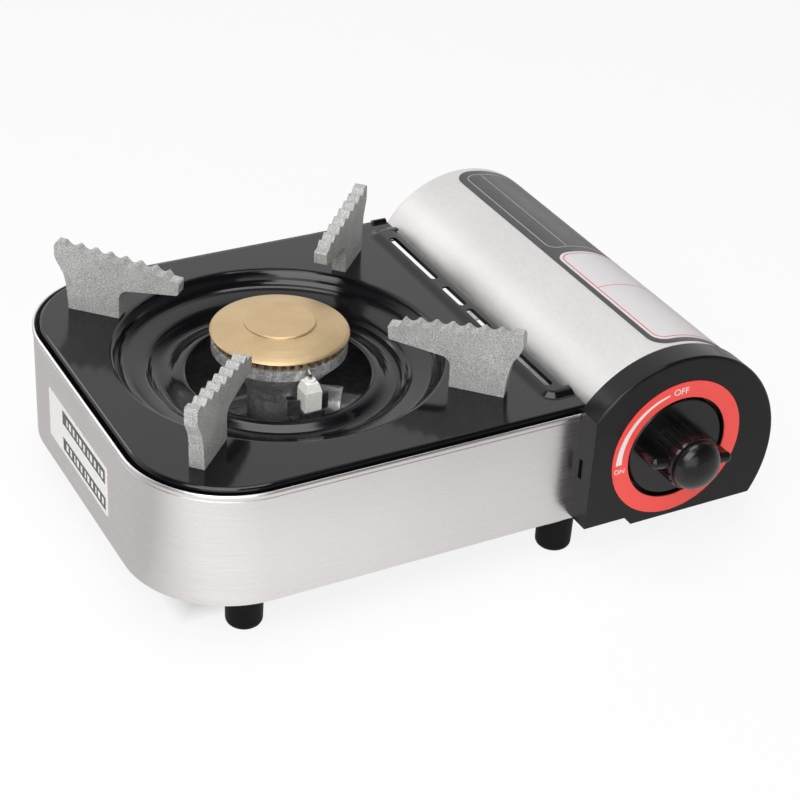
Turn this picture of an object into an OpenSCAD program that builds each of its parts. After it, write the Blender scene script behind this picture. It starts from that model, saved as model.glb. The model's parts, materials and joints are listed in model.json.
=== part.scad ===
// Portable cassette stove with one brass-capped burner, four cast pan supports
// and a covered bay for a lying butane cartridge. Millimetres, +Z up, +Y to the
// rear. The origin is under the middle of the stove, on the surface it stands on.

/* [Burner box] */
// Width of the burner box, from the left wall to the edge of the top plate
box_w = 182; // [178:1:196]
// Depth over the front and rear walls
box_d = 181; // [176:1:200]
// Height of the steel side wall
wall_h = 51; // [46:1:58]
// Outer radius of the two left corners
corner_r = 43.5; // [32:0.5:50]
// Thickness of the steel sheet
sheet_t = 0.8; // [0.6:0.1:1]
// Height of the hem along the wall's upper edge
hem_h = 2.2; // [1.5:0.1:3]
// How far the hem stands proud of the wall
hem_out = 0.4; // [0.2:0.1:0.8]

/* [Top plate] */
// How far the plate's face stands above the hem
plate_rise = 1.5; // [1:0.1:3]
// Gap between the plate's skirt and the wall
plate_gap = 1.7; // [1:0.1:3]
// Depth of the plate's skirt
skirt_h = 5; // [3.5:0.5:7]
// Radius of the bowl's rim
bowl_r = 68.8; // [64:0.2:70]
// Depth of the bowl's lowest ring
bowl_depth = 12; // [8:0.5:14]
// Radius of the hole that the burner stands in
burner_hole_r = 38.8; // [36:0.2:42]
// Width of the raised strip beside the cartridge bay
strip_w = 11.8; // [11:0.2:13]
// Height of the raised strip
strip_h = 1.7; // [1.3:0.1:2.4]
// Width of the draught slots in the strip
slot_w = 3.8; // [2.4:0.2:4.4]

/* [Burner] */
// How far the burner's axis is to the left of the box's middle
burner_shift = 3.8; // [2:0.1:5]
// Radius of the brass cap
cap_r = 28.9; // [26:0.1:31]
// Height of the cap's widest edge above the top plate
cap_lift = 9.3; // [7:0.1:12]
// Crown of the cap, from that edge to the raised disc
cap_crown = 4.7; // [3:0.1:7]
// Number of flame ports under the cap's rim
port_count = 50; // [36:2:60]
// Height of the flame ports
port_h = 3.1; // [1.8:0.1:3.5]
// Width of one flame port
port_w = 1.9; // [1:0.1:2.2]
// Radius of the die-cast head under the cap
head_r = 28.2; // [25:0.1:30]
// Outer radius of the mixing tube
tube_r = 7; // [6:0.2:8]
// Height of the mixing tube's axis above the base pan
tube_lift = 25.7; // [22:0.1:28]

/* [Pan supports] */
// Distance from the burner's axis to the inner edge of a foot
foot_in = 72; // [70:0.1:74]
// Length of a foot along the plate
foot_len = 23; // [18:0.2:28]
// Distance from the burner's axis to an arm's inner tip
arm_in = 45; // [38:0.5:50]
// Height of the outer end of a support above the plate
arm_h = 30; // [26:0.5:36]
// Fall of the toothed edge over its length
arm_fall = 5; // [0:0.5:6]
// Thickness of a support at its foot
arm_t = 6.4; // [5.6:0.1:7]
// Thickness of a support at its toothed edge
arm_top_t = 5.2; // [4.6:0.1:5.5]
// How far the supports' middle is to the right of the burner's axis
arm_shift = 1.8; // [0:0.1:3]
// Pitch of the teeth
tooth_pitch = 6.7; // [5:0.1:9]
// Number of hollows along the toothed edge
tooth_count = 7; // [5:1:7]

/* [Cartridge bay] */
// Radius of a standard butane cartridge
can_r = 33.6; // [33:0.1:34]
// Height of the cartridge's axis above the floor
can_z = 48; // [47:0.5:49]
// Distance of the bay's inner partition inside the edge of the top plate
partition_in = 14.2; // [14:0.2:16]
// Distance of the bay's outer rail inside the lid's side
rail_in = 2.8; // [2.4:0.1:3.6]
// Height of the bay's outer rail
rail_h = 5.5; // [4:0.5:6]

/* [Lid] */
// Radius of the lid
lid_r = 44.8; // [44.4:0.1:46]
// Gap between the edge of the top plate and the lid's open edge
lid_gap = 3.6; // [3:0.1:4.2]
// How far the lid's centre is to the right of the cartridge's axis
lid_shift = 0.5; // [0:0.1:1]
// Height of the lid's centre above the floor
lid_z = 41.5; // [41:0.5:43]
// Distance of the lid's rear end behind the front wall
lid_end = 184; // [182:0.5:190]
// Angle of the lid's inner edge, from the right
lid_open_angle = 149; // [147:0.2:151]
// Angle of the lid's outer edge, below the right
lid_edge_angle = 17.5; // [14:0.5:19]
// Distance of the hinge axis inside the lid's side
hinge_side = 8.3; // [8:0.1:9]
// Distance of the hinge axis below the lid's centre
hinge_drop = 9; // [8.5:0.1:9.5]
// Radius of the hinge pins
hinge_pin_r = 1.5; // [1.2:0.1:2]
// Running clearance between a hinge pin and its hole
hinge_gap = 0.05; // [0.02:0.01:0.1]

/* [Control panel] */
// How much larger the panel's rounded outline is than the lid, in radius
panel_lip = 5.6; // [4.6:0.1:8]
// How far the outline's centre is to the left of the cartridge's axis
panel_shift = 5.2; // [4.5:0.1:6]
// Height of the outline's centre above the floor
panel_z = 40.6; // [40:0.1:42]
// How far the panel's left edge laps over the burner box
panel_over = 4.2; // [3:0.2:6]
// Height of the panel's lower edge above the floor
panel_low = 15.5; // [13:0.5:16]
// Depth of the panel
panel_d = 11.5; // [10:0.5:14]
// Wall thickness of the panel
panel_t = 2; // [1.6:0.1:2.4]
// How far the knob's axis is to the left of the cartridge's axis
knob_shift = 4.8; // [4:0.1:6]
// Height of the knob's axis above the floor
knob_z = 49.2; // [48:0.1:50]
// Outer radius of the dial ring
ring_r = 31.1; // [28:0.1:33]
// Radius of the well that the knob's disc turns in
well_r = 23.7; // [23:0.1:26]

/* [Knob] */
// Radius of the knob's disc
disc_r = 22.3; // [19:0.1:22.6]
// Radius of the ribbed grip over its ribs
grip_r = 12.2; // [11:0.1:13]
// Distance from the panel's face to the front of the grip
grip_len = 13; // [10:0.5:18]
// Distance from the front of the grip to the top of the dome
dome_h = 8.5; // [6:0.5:10]
// Reach of the wings from the axis
wing_r = 20.4; // [16:0.2:21]
// Thickness of the wings
wing_t = 5; // [4:0.2:6]
// Turn of the wings from level, clockwise as the panel is faced
wing_turn = 10; // [0:1:20]

/* [Feet] */
// Height of the feet under the base pan
foot_h = 17.5; // [14:0.5:20]
// Radius of the feet
foot_r = 7.7; // [6:0.1:8.5]

/* [Hidden] */
$fn = 96;

eps = 0.01;                // overlap of cutting tools
fit = 0.2;                 // gap between parts that are fitted together
seam = 0.1;                // gap between sheets that are spot-welded

pan_z = foot_h;            // underside of the base pan
pan_top = pan_z + sheet_t;
wall_top = pan_z + wall_h;
plate_z = wall_top + plate_rise;
plate_under = plate_z - sheet_t;
plate_in = plate_gap + sheet_t;      // plate's edge, in from the wall's face
edge_r = 1.8;              // rounding of the plate's edge
strip_x = box_w - strip_w;
burner_x = box_w / 2 - burner_shift;
burner_y = box_d / 2;
bracket_half = 40;         // half the length of the strap under the burner
bracket_hole = bracket_half - 6;

lid_x = box_w + lid_gap - lid_r * cos(lid_open_angle);
can_x = lid_x - lid_shift;
hinge_x = lid_x + lid_r - hinge_side;
hinge_z = lid_z - hinge_drop;
partition_x = box_w - partition_in;
rail_x = lid_x + lid_r - rail_in;
panel_r = lid_r + panel_lip;
panel_x = can_x - panel_shift;
panel_left = box_w - panel_over;
knob_x = can_x - knob_shift;

lid_front = 1.8;           // the lid starts just behind the front plate
lid_flange = 3;            // depth of the lid's inturned rear edge
ear_t = 1.2;               // lid ears and hinge plate
ear_r = 4.5;
ear_gap = 0.6;             // side play between an ear and its bracket
tray_end = lid_end + ear_gap + ear_t;
front_plate_t = 1.2;
front_plate_y = -seam - front_plate_t;
front_plate_gap = 0.5;     // between the front plate and the panel's wall
front_plate_left = panel_left + 2.2;

tray_low = pan_z - 1;      // the bay's floor hangs a little lower than the pan
tray_top = tray_low + sheet_t;
cradle_r = can_r + 0.4;
cradle_w = 12;
cradle_half = acos((can_z - tray_top - sheet_t / 2) / (cradle_r + sheet_t / 2));
window_half = (cradle_r + sheet_t) * sin(cradle_half) + 0.8;
trough_half = acos((can_z - tray_low - sheet_t / 2) / (cradle_r + sheet_t / 2));
trough_edge = cradle_r * sin(trough_half) - 0.3;
trough_front = 34;         // the floor's trough runs from here
trough_rear = 148;         // to here, and the floor is open behind it
saddle_y = 163;

tube_z = pan_top + tube_lift;
tube_t = 0.9;
neck_r = 13;
gov_out_x = can_x - 19.5;  // where the governor's outlet meets the tube's axis
gov_out_y = 12;
tube_len = norm([gov_out_x - burner_x, gov_out_y - burner_y]);
tube_angle = atan2(gov_out_y - burner_y, gov_out_x - burner_x);
tube_start = 19;           // the tube starts inside the head's socket
tube_stop = 12;            // and ends before the nozzle's tip
bracket_top = tube_z - 9.6;

gov_front = 0.4;
gov_back = 17;
mouth_r = 17;              // mouth that takes the cartridge's collar
mouth_ring_r = 20;
mouth_y = 22.5;            // face that the cartridge's collar meets
mouth_d = 3.5;
magnet_r = 15;
magnet_t = 2.4;
seal_r = 5;

ign_r = 32.4;              // igniter, from the burner's axis
ign_turn = -92.8;
ign_w = 7.4;
ign_low = plate_z - 13;
ign_x = burner_x + ign_r * cos(ign_turn);
ign_y = burner_y + ign_r * sin(ign_turn);
ign_lug_r = 22.5;          // lug on the head that the igniter's strap sits on
ign_lug_w = 8;
notch_turn = -81;
notch_w = 12;

gov_cover_x = can_x + 19;   // diaphragm chamber
gov_cover_z = 30.8;
gov_cover_r = 9.3;
gov_cover_y = 12;

well_d = 4;                // depth of the knob's well
well_y = -panel_d + well_d;
disc_t = 3.4;
disc_back = well_y - 0.4;
spindle_r = 3;
spindle_front = -panel_d - 8;
spindle_back = gov_front + 7;
ring_t = 0.5;

turn = 96;                 // travel of the knob, in degrees
cam_r = 26;                // radius at which the cam's ramp meets the plunger
cam_gap = 0.3;
cam_front = well_y + panel_t + cam_gap;
cam_web = 1;
cam_rise = 2.5;            // travel of the piezo's plunger
plunger_r = 2.4;
plunger_x = knob_x + cam_r;
plunger_tip = cam_front + cam_web + cam_gap;
piezo_w = 10;
piezo_d = 16;
piezo_h = 12;
piezo_x = plunger_x - 4.6;
piezo_y = gov_front;
piezo_z = knob_z - piezo_h / 2;

foot_x_left = corner_r - 6;
foot_x_right = box_w - 5.2;
foot_in_left = 13.2;       // left feet, in from the front or rear wall
foot_in_right = 8.2;       // right feet
feet = [[foot_x_left, foot_in_left], [foot_x_right, foot_in_right],
    [foot_x_left, box_d - foot_in_left], [foot_x_right, box_d - foot_in_right]];
foot_screw_r = 1.5;

support_turns = [135, 45, -45, -135];
lug_len = 10;
lug_w = 3.2;
lug_mid = foot_in + foot_len / 2;
support_x = burner_x + arm_shift;

lead_r = 1.1;
lead_end = [piezo_x + 7, piezo_y + 10, piezo_z + piezo_h + 1.6];
lead_route = [[ign_x, ign_y, ign_low - 2.7], [ign_x, ign_y, ign_low - 5],
    [ign_x, ign_y - 1, ign_low - 8], [burner_x + 5, 50, 41],
    [burner_x + 17, 44, 36], [burner_x + 35, 39, 35], [partition_x - 28, 34, 36],
    [partition_x - 13, 28, 43], [partition_x, 25, 50], [can_x - 43.5, 24, 55],
    [can_x - 31.5, 22, 58.5], [can_x - 18.5, 18, 66], [can_x - 5.5, 15, 70],
    [can_x + 8.5, 12, 69], [can_x + 19.5, 11, 65], lead_end + [0, 0, 4.5], lead_end + [0, 0, 2], lead_end];

x_low = -hem_out;
x_high = max(lid_x + lid_r, panel_x + panel_r);
y_low = -panel_d - grip_len - dome_h;
y_high = tray_end + 1;

// Moves a piece from its place beside the walls to the stove's own frame.
module place() {
    translate([-(x_low + x_high) / 2, -(y_low + y_high) / 2, 0]) children();
}

// Extrudes a shape drawn in the X-Z plane from y0 to y1.
module along_y(y0, y1) {
    translate([0, y1, 0]) rotate([90, 0, 0]) linear_extrude(y1 - y0) children();
}

// Plan of the burner box, with its two round left corners, set in by inset.
module box_plan(inset, right) {
    r = corner_r - inset;
    translate([inset + r, inset]) square([right - inset - r, box_d - 2 * inset]);
    translate([inset, inset + r]) square([r + 1, box_d - 2 * inset - 2 * r]);
    for (y = [inset + r, box_d - inset - r]) translate([inset + r, y]) circle(r);
}

// Sweeps a profile (inset from the walls' face, height) round three sides.
module swept_edge(right) {
    turn_in = corner_r;
    for (s = [0, 1]) translate([turn_in, s * box_d, 0]) mirror([0, s, 0]) {
        translate([0, turn_in, 0]) rotate([0, 0, 180]) rotate_extrude(angle = 90)
            translate([turn_in, 0]) mirror([1, 0]) children();
        rotate([90, 0, 90]) linear_extrude(right - turn_in) children();
    }
    translate([0, box_d - turn_in, 0]) rotate([90, 0, 0])
        linear_extrude(box_d - 2 * turn_in) children();
}

// A band that follows the box's left, front and rear walls.
module box_band(outer, inner, right, h) {
    linear_extrude(h) difference() {
        box_plan(outer, right);
        box_plan(inner, right + 1);
    }
}

// A flat slot with round ends, w wide and len long along X, for cutting.
module slot_x(len, w, h) {
    linear_extrude(h) {
        translate([-(len - w) / 2, -w / 2]) square([len - w, w]);
        for (x = [-(len - w) / 2, (len - w) / 2]) translate([x, 0]) circle(w / 2);
    }
}

// A cylinder along Y, from y0 to y1.
module rod_y(x, z, r, y0, y1) {
    translate([x, y1, z]) rotate([90, 0, 0]) cylinder(r = r, h = y1 - y0);
}

// Points of a circle's arc.
function arc_points(cx, cy, r, a0, a1, n) =
    [for (i = [0 : n]) let (a = a0 + (a1 - a0) * i / n) [cx + r * cos(a), cy + r * sin(a)]];

// ---- Burner box ----

module wall_profile() {
    low = wall_top - hem_h;
    polygon([[0, pan_z], [0, low - 0.6], [0.25, low - 0.4], [0.25, low], [-hem_out + 0.3, low],
        [-hem_out, low + 0.3], [-hem_out, wall_top - 0.7], [-hem_out + 0.2, wall_top - 0.25],
        [-hem_out + 0.6, wall_top], [sheet_t - 0.3, wall_top], [sheet_t, wall_top - 0.4],
        [sheet_t, pan_z]]);
}

module side_wall() {
    color("Gainsboro") place() difference() {
        swept_edge(box_w) wall_profile();
        translate([panel_left - fit, -2, wall_top - hem_h - 1]) cube([box_w, 2, hem_h + 2]);
    }
}

vent_reach = 52;           // from the burner's axis to the last vent
vent_pitch = 9;
vent_len = 46;
vent_w = 3.6;
pan_rim_h = 7;

module base_pan() {
    edge = sheet_t + seam;
    color("Silver") place() difference() {
        translate([0, 0, pan_z]) union() {
            linear_extrude(sheet_t) box_plan(edge, partition_x - seam);
            box_band(edge, edge + sheet_t, partition_x - seam, pan_rim_h);
        }
        for (f = feet) if (f[0] < partition_x)
            translate([f[0], f[1], pan_z - 1]) cylinder(r = foot_screw_r + 0.3, h = 3);
        for (y = [burner_y - vent_reach : vent_pitch : burner_y + vent_reach])
            if (abs(y - burner_y) > 16) translate([burner_x, y, pan_z - 1])
                slot_x(vent_len, vent_w, 3);
        for (s = [-1, 1]) translate([burner_x + s * bracket_hole, burner_y, pan_z - 1])
            cylinder(r = 1.8, h = 3);
    }
}

// Radius at a step of the bowl, counted in thirtieths from its rim to its hole.
function bowl_at(n) = bowl_r - n * (bowl_r - burner_hole_r) / 30;

// Half-section of the pressed bowl: radius and height of its upper side.
bowl_steps = [[bowl_r + 2, 0], [bowl_r, -0.3], [bowl_at(1.6), -2], [bowl_at(3.2), -4.8],
    [bowl_at(5.4), -6.5], [bowl_at(10.5), -7.5], [bowl_at(14), -8.4],
    [bowl_at(16.4), 1.4 - bowl_depth], [bowl_at(19.4), -bowl_depth],
    [bowl_at(23), 0.5 - bowl_depth], [bowl_at(26.4), 2 - bowl_depth],
    [bowl_at(28.8), 2.5 - bowl_depth], [burner_hole_r, 2 - bowl_depth]];
bowl_line = smooth(bowl_steps, 3);

module bowl() {
    under = [for (i = [len(bowl_line) - 1 : -1 : 0])
        [bowl_line[i][0] + (i == 0 ? 0 : sheet_t * 0.5), bowl_line[i][1] - sheet_t]];
    rotate_extrude() polygon(concat(bowl_line, under));
}

// The raised strip is a pressed step. Its soft slope starts at strip_foot, runs along
// the strip and turns through round corners to the right at both of its ends.
strip_foot = strip_x - 2.4;
strip_end = 10.5;          // from the front and the rear wall to the slope
strip_turn = 7;            // radius of the slope's foot at the corners
strip_slope = 4.8;         // width of the slope

// Section of the slope: distance from its foot and height.
module slope_section() {
    t = sheet_t;
    h = strip_h;
    polygon([[0, 0], [1.2, 0.12 * h], [2.4, 0.48 * h], [3.6, 0.86 * h], [strip_slope, h],
        [6.5, h], [6.5, h - t], [strip_slope + 0.4, h - t], [4.1, 0.82 * h - t],
        [2.9, 0.44 * h - t], [1.6, 0.08 * h - t], [0.4, -t], [0, -t]]);
}

// Section of the rounded fall along the strip's outer side, in the X-Z plane.
module fall_section() {
    t = sheet_t;
    h = strip_h;
    polygon([[box_w - 4.3, h], [box_w - 2.4, 0.88 * h], [box_w - 1.1, 0.52 * h],
        [box_w - 0.3, 0], [box_w, -0.5], [box_w, -t - 0.2], [box_w - t, -t - 0.2],
        [box_w - t - 0.3, -0.3], [box_w - 1.8, 0.52 * h - t], [box_w - 2.8, 0.88 * h - t],
        [box_w - 4.3, h - t]]);
}

module raised_strip() {
    long = box_d - 2 * (strip_end + strip_turn);
    flat = strip_slope + 1.6;
    for (s = [0, 1]) translate([0, s * box_d, 0]) mirror([0, s, 0])
        translate([strip_foot + strip_turn, strip_end + strip_turn, 0]) {
            rotate([0, 0, 180]) rotate_extrude(angle = 90)
                translate([strip_turn, 0]) mirror([1, 0]) slope_section();
            translate([0, -strip_turn, 0]) rotate([90, 0, 90])
                linear_extrude(box_w - strip_foot - strip_turn) slope_section();
        }
    along_y(strip_end + strip_turn, box_d - strip_end - strip_turn)
        translate([strip_foot, 0]) slope_section();
    along_y(strip_end + strip_slope, box_d - strip_end - strip_slope) fall_section();
    translate([strip_foot + flat, strip_end + flat, strip_h - sheet_t])
        cube([box_w - 4.2 - strip_foot - flat, box_d - 2 * (strip_end + flat), sheet_t]);
    for (s = [0, 1]) translate([box_w - sheet_t, s * box_d, 0]) mirror([0, s, 0])
        rotate([90, 0, 90]) linear_extrude(sheet_t) polygon([[strip_end + 0.3, -sheet_t - 0.1],
            [strip_end + strip_slope + 0.2, strip_h - sheet_t - 0.3],
            [strip_end + strip_slope + 0.2, -sheet_t - 0.1]]);
}

// Opening in the plate's flat face that the strip's slope is drawn up from.
module strip_window() {
    in = 0.5;
    c = strip_turn - in;
    x = strip_foot + in;
    y = strip_end + in;
    translate([x, y + c]) square([box_w, box_d - 2 * (y + c)]);
    translate([x + c, y]) square([box_w, box_d - 2 * y]);
    for (s = [y + c, box_d - y - c]) translate([x + c, s]) circle(c);
}

slot_in = 4.8;             // slots, from the strip's inner edge
slot_mid = 88.7;           // middle of the row of slots
slot_long = 41.6;
slot_short = 17.6;
slot_gap = 7.8;            // between a long and a short slot
slot_bridge = 3.8;         // between the two short slots
slot_out = slot_bridge / 2 + slot_short + slot_gap + slot_long / 2;
slot_rows = [[-slot_out, slot_long], [-(slot_bridge + slot_short) / 2, slot_short],
    [(slot_bridge + slot_short) / 2, slot_short], [slot_out, slot_long]];

// Rolled edge of the plate: a rounded shoulder over a short skirt.
module plate_edge_profile() {
    a = plate_in;
    r = edge_r;
    t = sheet_t;
    polygon(concat([[a + r + 1.5, plate_under], [a + r + 1.5, plate_z]],
        arc_points(a + r, plate_z - r, r, 90, 180, 5),
        [[a, plate_z - skirt_h], [a + t, plate_z - skirt_h]],
        arc_points(a + r, plate_z - r, r - t, 180, 90, 4)));
}

module top_plate() {
    rear = box_d - plate_in;
    color("DarkSlateGray") place() difference() {
        union() {
            difference() {
                translate([0, 0, plate_under]) linear_extrude(sheet_t) difference() {
                    box_plan(plate_in + 3.2, box_w);
                    strip_window();
                }
                translate([burner_x, burner_y, plate_under - 1])
                    cylinder(r = bowl_r + 1.2, h = 4);
            }
            translate([burner_x, burner_y, plate_z]) bowl();
            swept_edge(box_w) plate_edge_profile();
            translate([0, 0, plate_z]) raised_strip();
            translate([box_w - sheet_t, plate_in + 1, plate_z - skirt_h])
                cube([sheet_t, rear - plate_in - 2, skirt_h - sheet_t + 0.15]);
            translate([box_w - 7, rear - 1.9, plate_z - 0.5]) rotate([0, 90, 0])
                cylinder(r = 1.9, h = 6.6);
        }
        for (s = slot_rows) translate([strip_x + slot_in, slot_mid + s[0], plate_z - 3])
            rotate([0, 0, 90]) slot_x(s[1], slot_w, strip_h + 4);
        for (a = support_turns) translate([support_x, burner_y, plate_under - 1])
            rotate([0, 0, a]) translate([lug_mid, 0, 0]) slot_x(lug_len + 1, lug_w + 0.8, 4);
    }
}

// ---- Cartridge bay ----

tube_cut_y = burner_y + tan(tube_angle) * (partition_x - burner_x);
tray_front = sheet_t + seam;
tray_rear = box_d - sheet_t - seam;
skirt_gap_z = plate_z - skirt_h - fit;
rest_z = lid_z + (lid_r - sheet_t) * sin(lid_open_angle) - fit;

// Sector of a ring round the cartridge, to an angle a on each side of its lowest point.
module cradle_arc(r, a) {
    translate([can_x, can_z]) difference() {
        intersection() {
            circle(r + sheet_t);
            polygon(concat([[0, 0]], arc_points(0, 0, 2 * can_r, 270 - a, 270 + a, 6)));
        }
        circle(r);
    }
}

// Flat floor of the bay, from x0 to the outer rail, with a gap of half-width half.
module tray_floor(x0, half) {
    translate([x0, tray_low]) square([can_x - half - x0, sheet_t]);
    translate([can_x + half, tray_low]) square([rail_x - can_x - half, sheet_t]);
    translate([rail_x - sheet_t, tray_low]) square([sheet_t, rail_h]);
    translate([rail_x - 2 * sheet_t, tray_low + rail_h - 1.6]) square([2 * sheet_t, 1.6]);
}

// Partition, floor with its pressed trough, outer rail and front flange, in one sheet.
module bay_tray() {
    outside = box_w + seam;
    color("Silver") place() difference() {
        union() {
            along_y(tray_front, tray_rear)
                translate([partition_x, tray_low]) square([sheet_t, skirt_gap_z - tray_low]);
            along_y(plate_in + edge_r + fit, box_d - plate_in - edge_r - fit)
                translate([partition_x, tray_low]) square([sheet_t, plate_under - fit - tray_low]);
            along_y(0, tray_front + 1) tray_floor(outside, 1);
            along_y(tray_front, trough_front) tray_floor(partition_x, -1);
            along_y(trough_front - 1, trough_rear) tray_floor(partition_x, trough_edge);
            along_y(trough_rear - 1, tray_rear) tray_floor(partition_x, window_half);
            along_y(tray_rear - 1, tray_end) tray_floor(outside, window_half);
            along_y(trough_front, trough_rear) cradle_arc(cradle_r, trough_half);
            along_y(trough_front - sheet_t, trough_front + 0.2) intersection() {
                translate([can_x, can_z]) circle(cradle_r + sheet_t);
                translate([can_x - can_r, 0]) square([2 * can_r, tray_top - 0.2]);
            }
            translate([can_x - 2, 0, tray_low]) cube([4, tray_front + 1, sheet_t]);
            translate([outside, 0, tray_low]) cube([rail_x - outside, sheet_t, 7]);
            for (y = [10, box_d - 12.4]) translate([partition_x, y, rest_z - sheet_t])
                cube([box_w + lid_gap + 1.2 - partition_x, 10, sheet_t]);
        }
        translate([partition_x - 1, tube_cut_y - 14, tube_z - 10]) cube([4, 26, 20]);
        for (f = feet) if (f[0] > partition_x)
            translate([f[0], f[1], tray_low - 1]) cylinder(r = foot_screw_r + 0.3, h = 4);
    }
}

// Strap across the open end of the floor that the cartridge's tail lies in.
module cartridge_saddle() {
    wing = 9;
    half = cradle_r * sin(cradle_half);
    color("LightSteelBlue") place() along_y(saddle_y, saddle_y + cradle_w) difference() {
        union() {
            cradle_arc(cradle_r, cradle_half);
            for (s = [-1, 1]) translate([can_x + (s > 0 ? half : -half - wing), tray_top])
                square([wing, sheet_t]);
        }
        translate([can_x, can_z]) circle(cradle_r);
    }
}

// Shape of the steel plate that carries the governor and the panel.
module front_plate_shape() {
    low = panel_low + panel_t + front_plate_gap;
    intersection() {
        translate([panel_x, panel_z]) circle(panel_r - panel_t - front_plate_gap);
        translate([front_plate_left, low + 4]) square([2 * panel_r, 2 * panel_r]);
    }
}

panel_screw_places = [[panel_left + 12.2, panel_low + 14.5], [knob_x + 30.3, panel_low + 14.5],
    [panel_x + 3.7, panel_z + panel_r - 7]];

module valve_plate() {
    color("Silver") place() difference() {
        along_y(front_plate_y, -seam) front_plate_shape();
        rod_y(knob_x, knob_z, 8.8, front_plate_y - 1, 1);
        rod_y(plunger_x, knob_z, plunger_r + 0.5, front_plate_y - 1, 1);
        rod_y(hinge_x, hinge_z, hinge_pin_r + 0.02, front_plate_y - 1, 1);
        for (s = panel_screw_places) rod_y(s[0], s[1], 1.7, front_plate_y - 1, 1);
        for (s = [-1, 1]) rod_y(knob_x + s * 14, knob_z, 1.7, front_plate_y - 1, 1);
    }
}

// ---- Pan supports ----

arm_top_in = foot_in - 22.5;           // inner end of the toothed edge
arm_out = foot_in + foot_len + 6;    // outer nose
tooth_start = arm_out - 3.6;           // outermost tooth
function arm_edge(u) = arm_h - arm_fall * (arm_out - u) / (arm_out - arm_top_in);
tooth_d = 1.9;

// One hollow of the toothed edge, as a shallow arc between two teeth.
function hollow(i) = [for (k = [0 : 6])
    let (u = tooth_start - tooth_pitch * (i + 0.08 + 0.84 * k / 6))
    [u, arm_edge(u) - tooth_d * sin(180 * k / 6)]];

module support_profile() {
    f = foot_in;
    tip = arm_edge(arm_top_in) - tooth_d - 0.6;
    hollows = [for (i = [0 : tooth_count - 1]) each hollow(i)];
    last = tooth_start - tooth_pitch * tooth_count;
    polygon(concat(
        [[f, 0], [f + foot_len, 0], [f + foot_len + 0.9, 11], [f + foot_len + 2, 16],
            [arm_out - 0.6, 22], [arm_out, 24], [arm_out, arm_h - 1.6],
            [arm_out - 0.8, arm_h - 0.2]],
        hollows,
        [[last - 0.8, tip + 0.8], [last - 1.2, tip], [arm_in + 0.6, tip - 0.2],
            [arm_in, tip - 0.8], [arm_in + 0.5, 16.8], [arm_in + 1.2, 16.2]],
        [for (p = arc_points(f - 4.6, 9, 4.6, 90, 0, 6)) p]));
}

module pan_support(turn) {
    color("DarkGray") place() translate([support_x, burner_y, plate_z]) rotate([0, 0, turn]) {
        intersection() {
            translate([0, arm_t / 2 + 1, 0]) rotate([90, 0, 0]) linear_extrude(arm_t + 2)
                support_profile();
            translate([arm_in - 1, 0, 0]) rotate([90, 0, 90]) linear_extrude(arm_out - arm_in + 2)
                polygon([[-arm_t / 2, -1], [arm_t / 2, -1], [arm_top_t / 2, arm_h + 1],
                    [-arm_top_t / 2, arm_h + 1]]);
        }
        translate([lug_mid, 0, -sheet_t - 1.2]) slot_x(lug_len, lug_w, sheet_t + 1.2 + eps);
    }
}

module pan_support_rear_left() { pan_support(support_turns[0]); }
module pan_support_rear_right() { pan_support(support_turns[1]); }
module pan_support_front_right() { pan_support(support_turns[2]); }
module pan_support_front_left() { pan_support(support_turns[3]); }

// Washer-headed screws under the plate, one up into each support's lug.
module pan_support_screws() {
    head_top = plate_under - 1.2 - seam;
    color("Gray") place() for (a = support_turns)
        translate([support_x, burner_y, 0]) rotate([0, 0, a]) translate([lug_mid, 0, head_top - 2.2]) {
            cylinder(r = 3.2, h = 2.2, $fn = 24);
            translate([0, 0, 1]) cylinder(r = 5.6, h = 1.2, $fn = 32);
        }
}

// ---- Burner ----

cap_edge_z = plate_z + cap_lift;
cap_top_z = cap_edge_z + cap_crown;
port_top = cap_edge_z - 0.35;
head_top = port_top - port_h;
port_ring_out = head_r - 0.5;
port_ring_in = head_r - 3.4;
disc_edge = 14.9;

tooth_angle = 360 / port_count - port_w / port_ring_out * 180 / PI;

module burner_cap() {
    a = tooth_angle / 2;
    low = head_top + fit / 2;
    section = [[0, cap_top_z - 3.2], [0, cap_top_z], [disc_edge - 0.5, cap_top_z],
        [disc_edge, cap_top_z - 0.25], [disc_edge + 0.2, cap_top_z - 0.8],
        [disc_edge + 3, cap_edge_z + 3.4], [cap_r - 7, cap_edge_z + 2.6],
        [cap_r - 3, cap_edge_z + 1.5], [cap_r - 1.2, cap_edge_z + 0.9],
        [cap_r - 0.3, cap_edge_z + 0.4], [cap_r, cap_edge_z], [cap_r - 0.4, port_top],
        [port_ring_in - 1.3, port_top], [disc_edge, cap_top_z - 3.2]];
    color("BurlyWood") place() translate([burner_x, burner_y, 0]) {
        rotate_extrude() polygon(section);
        translate([0, 0, low]) linear_extrude(port_top - low + 0.2)
            for (i = [0 : port_count - 1]) rotate(i * 360 / port_count)
                polygon([[port_ring_in * cos(a), port_ring_in * sin(a)],
                    [port_ring_in * cos(a), -port_ring_in * sin(a)],
                    [port_ring_out * cos(a), -port_ring_out * sin(a)],
                    [port_ring_out, 0], [port_ring_out * cos(a), port_ring_out * sin(a)]]);
    }
}

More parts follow.
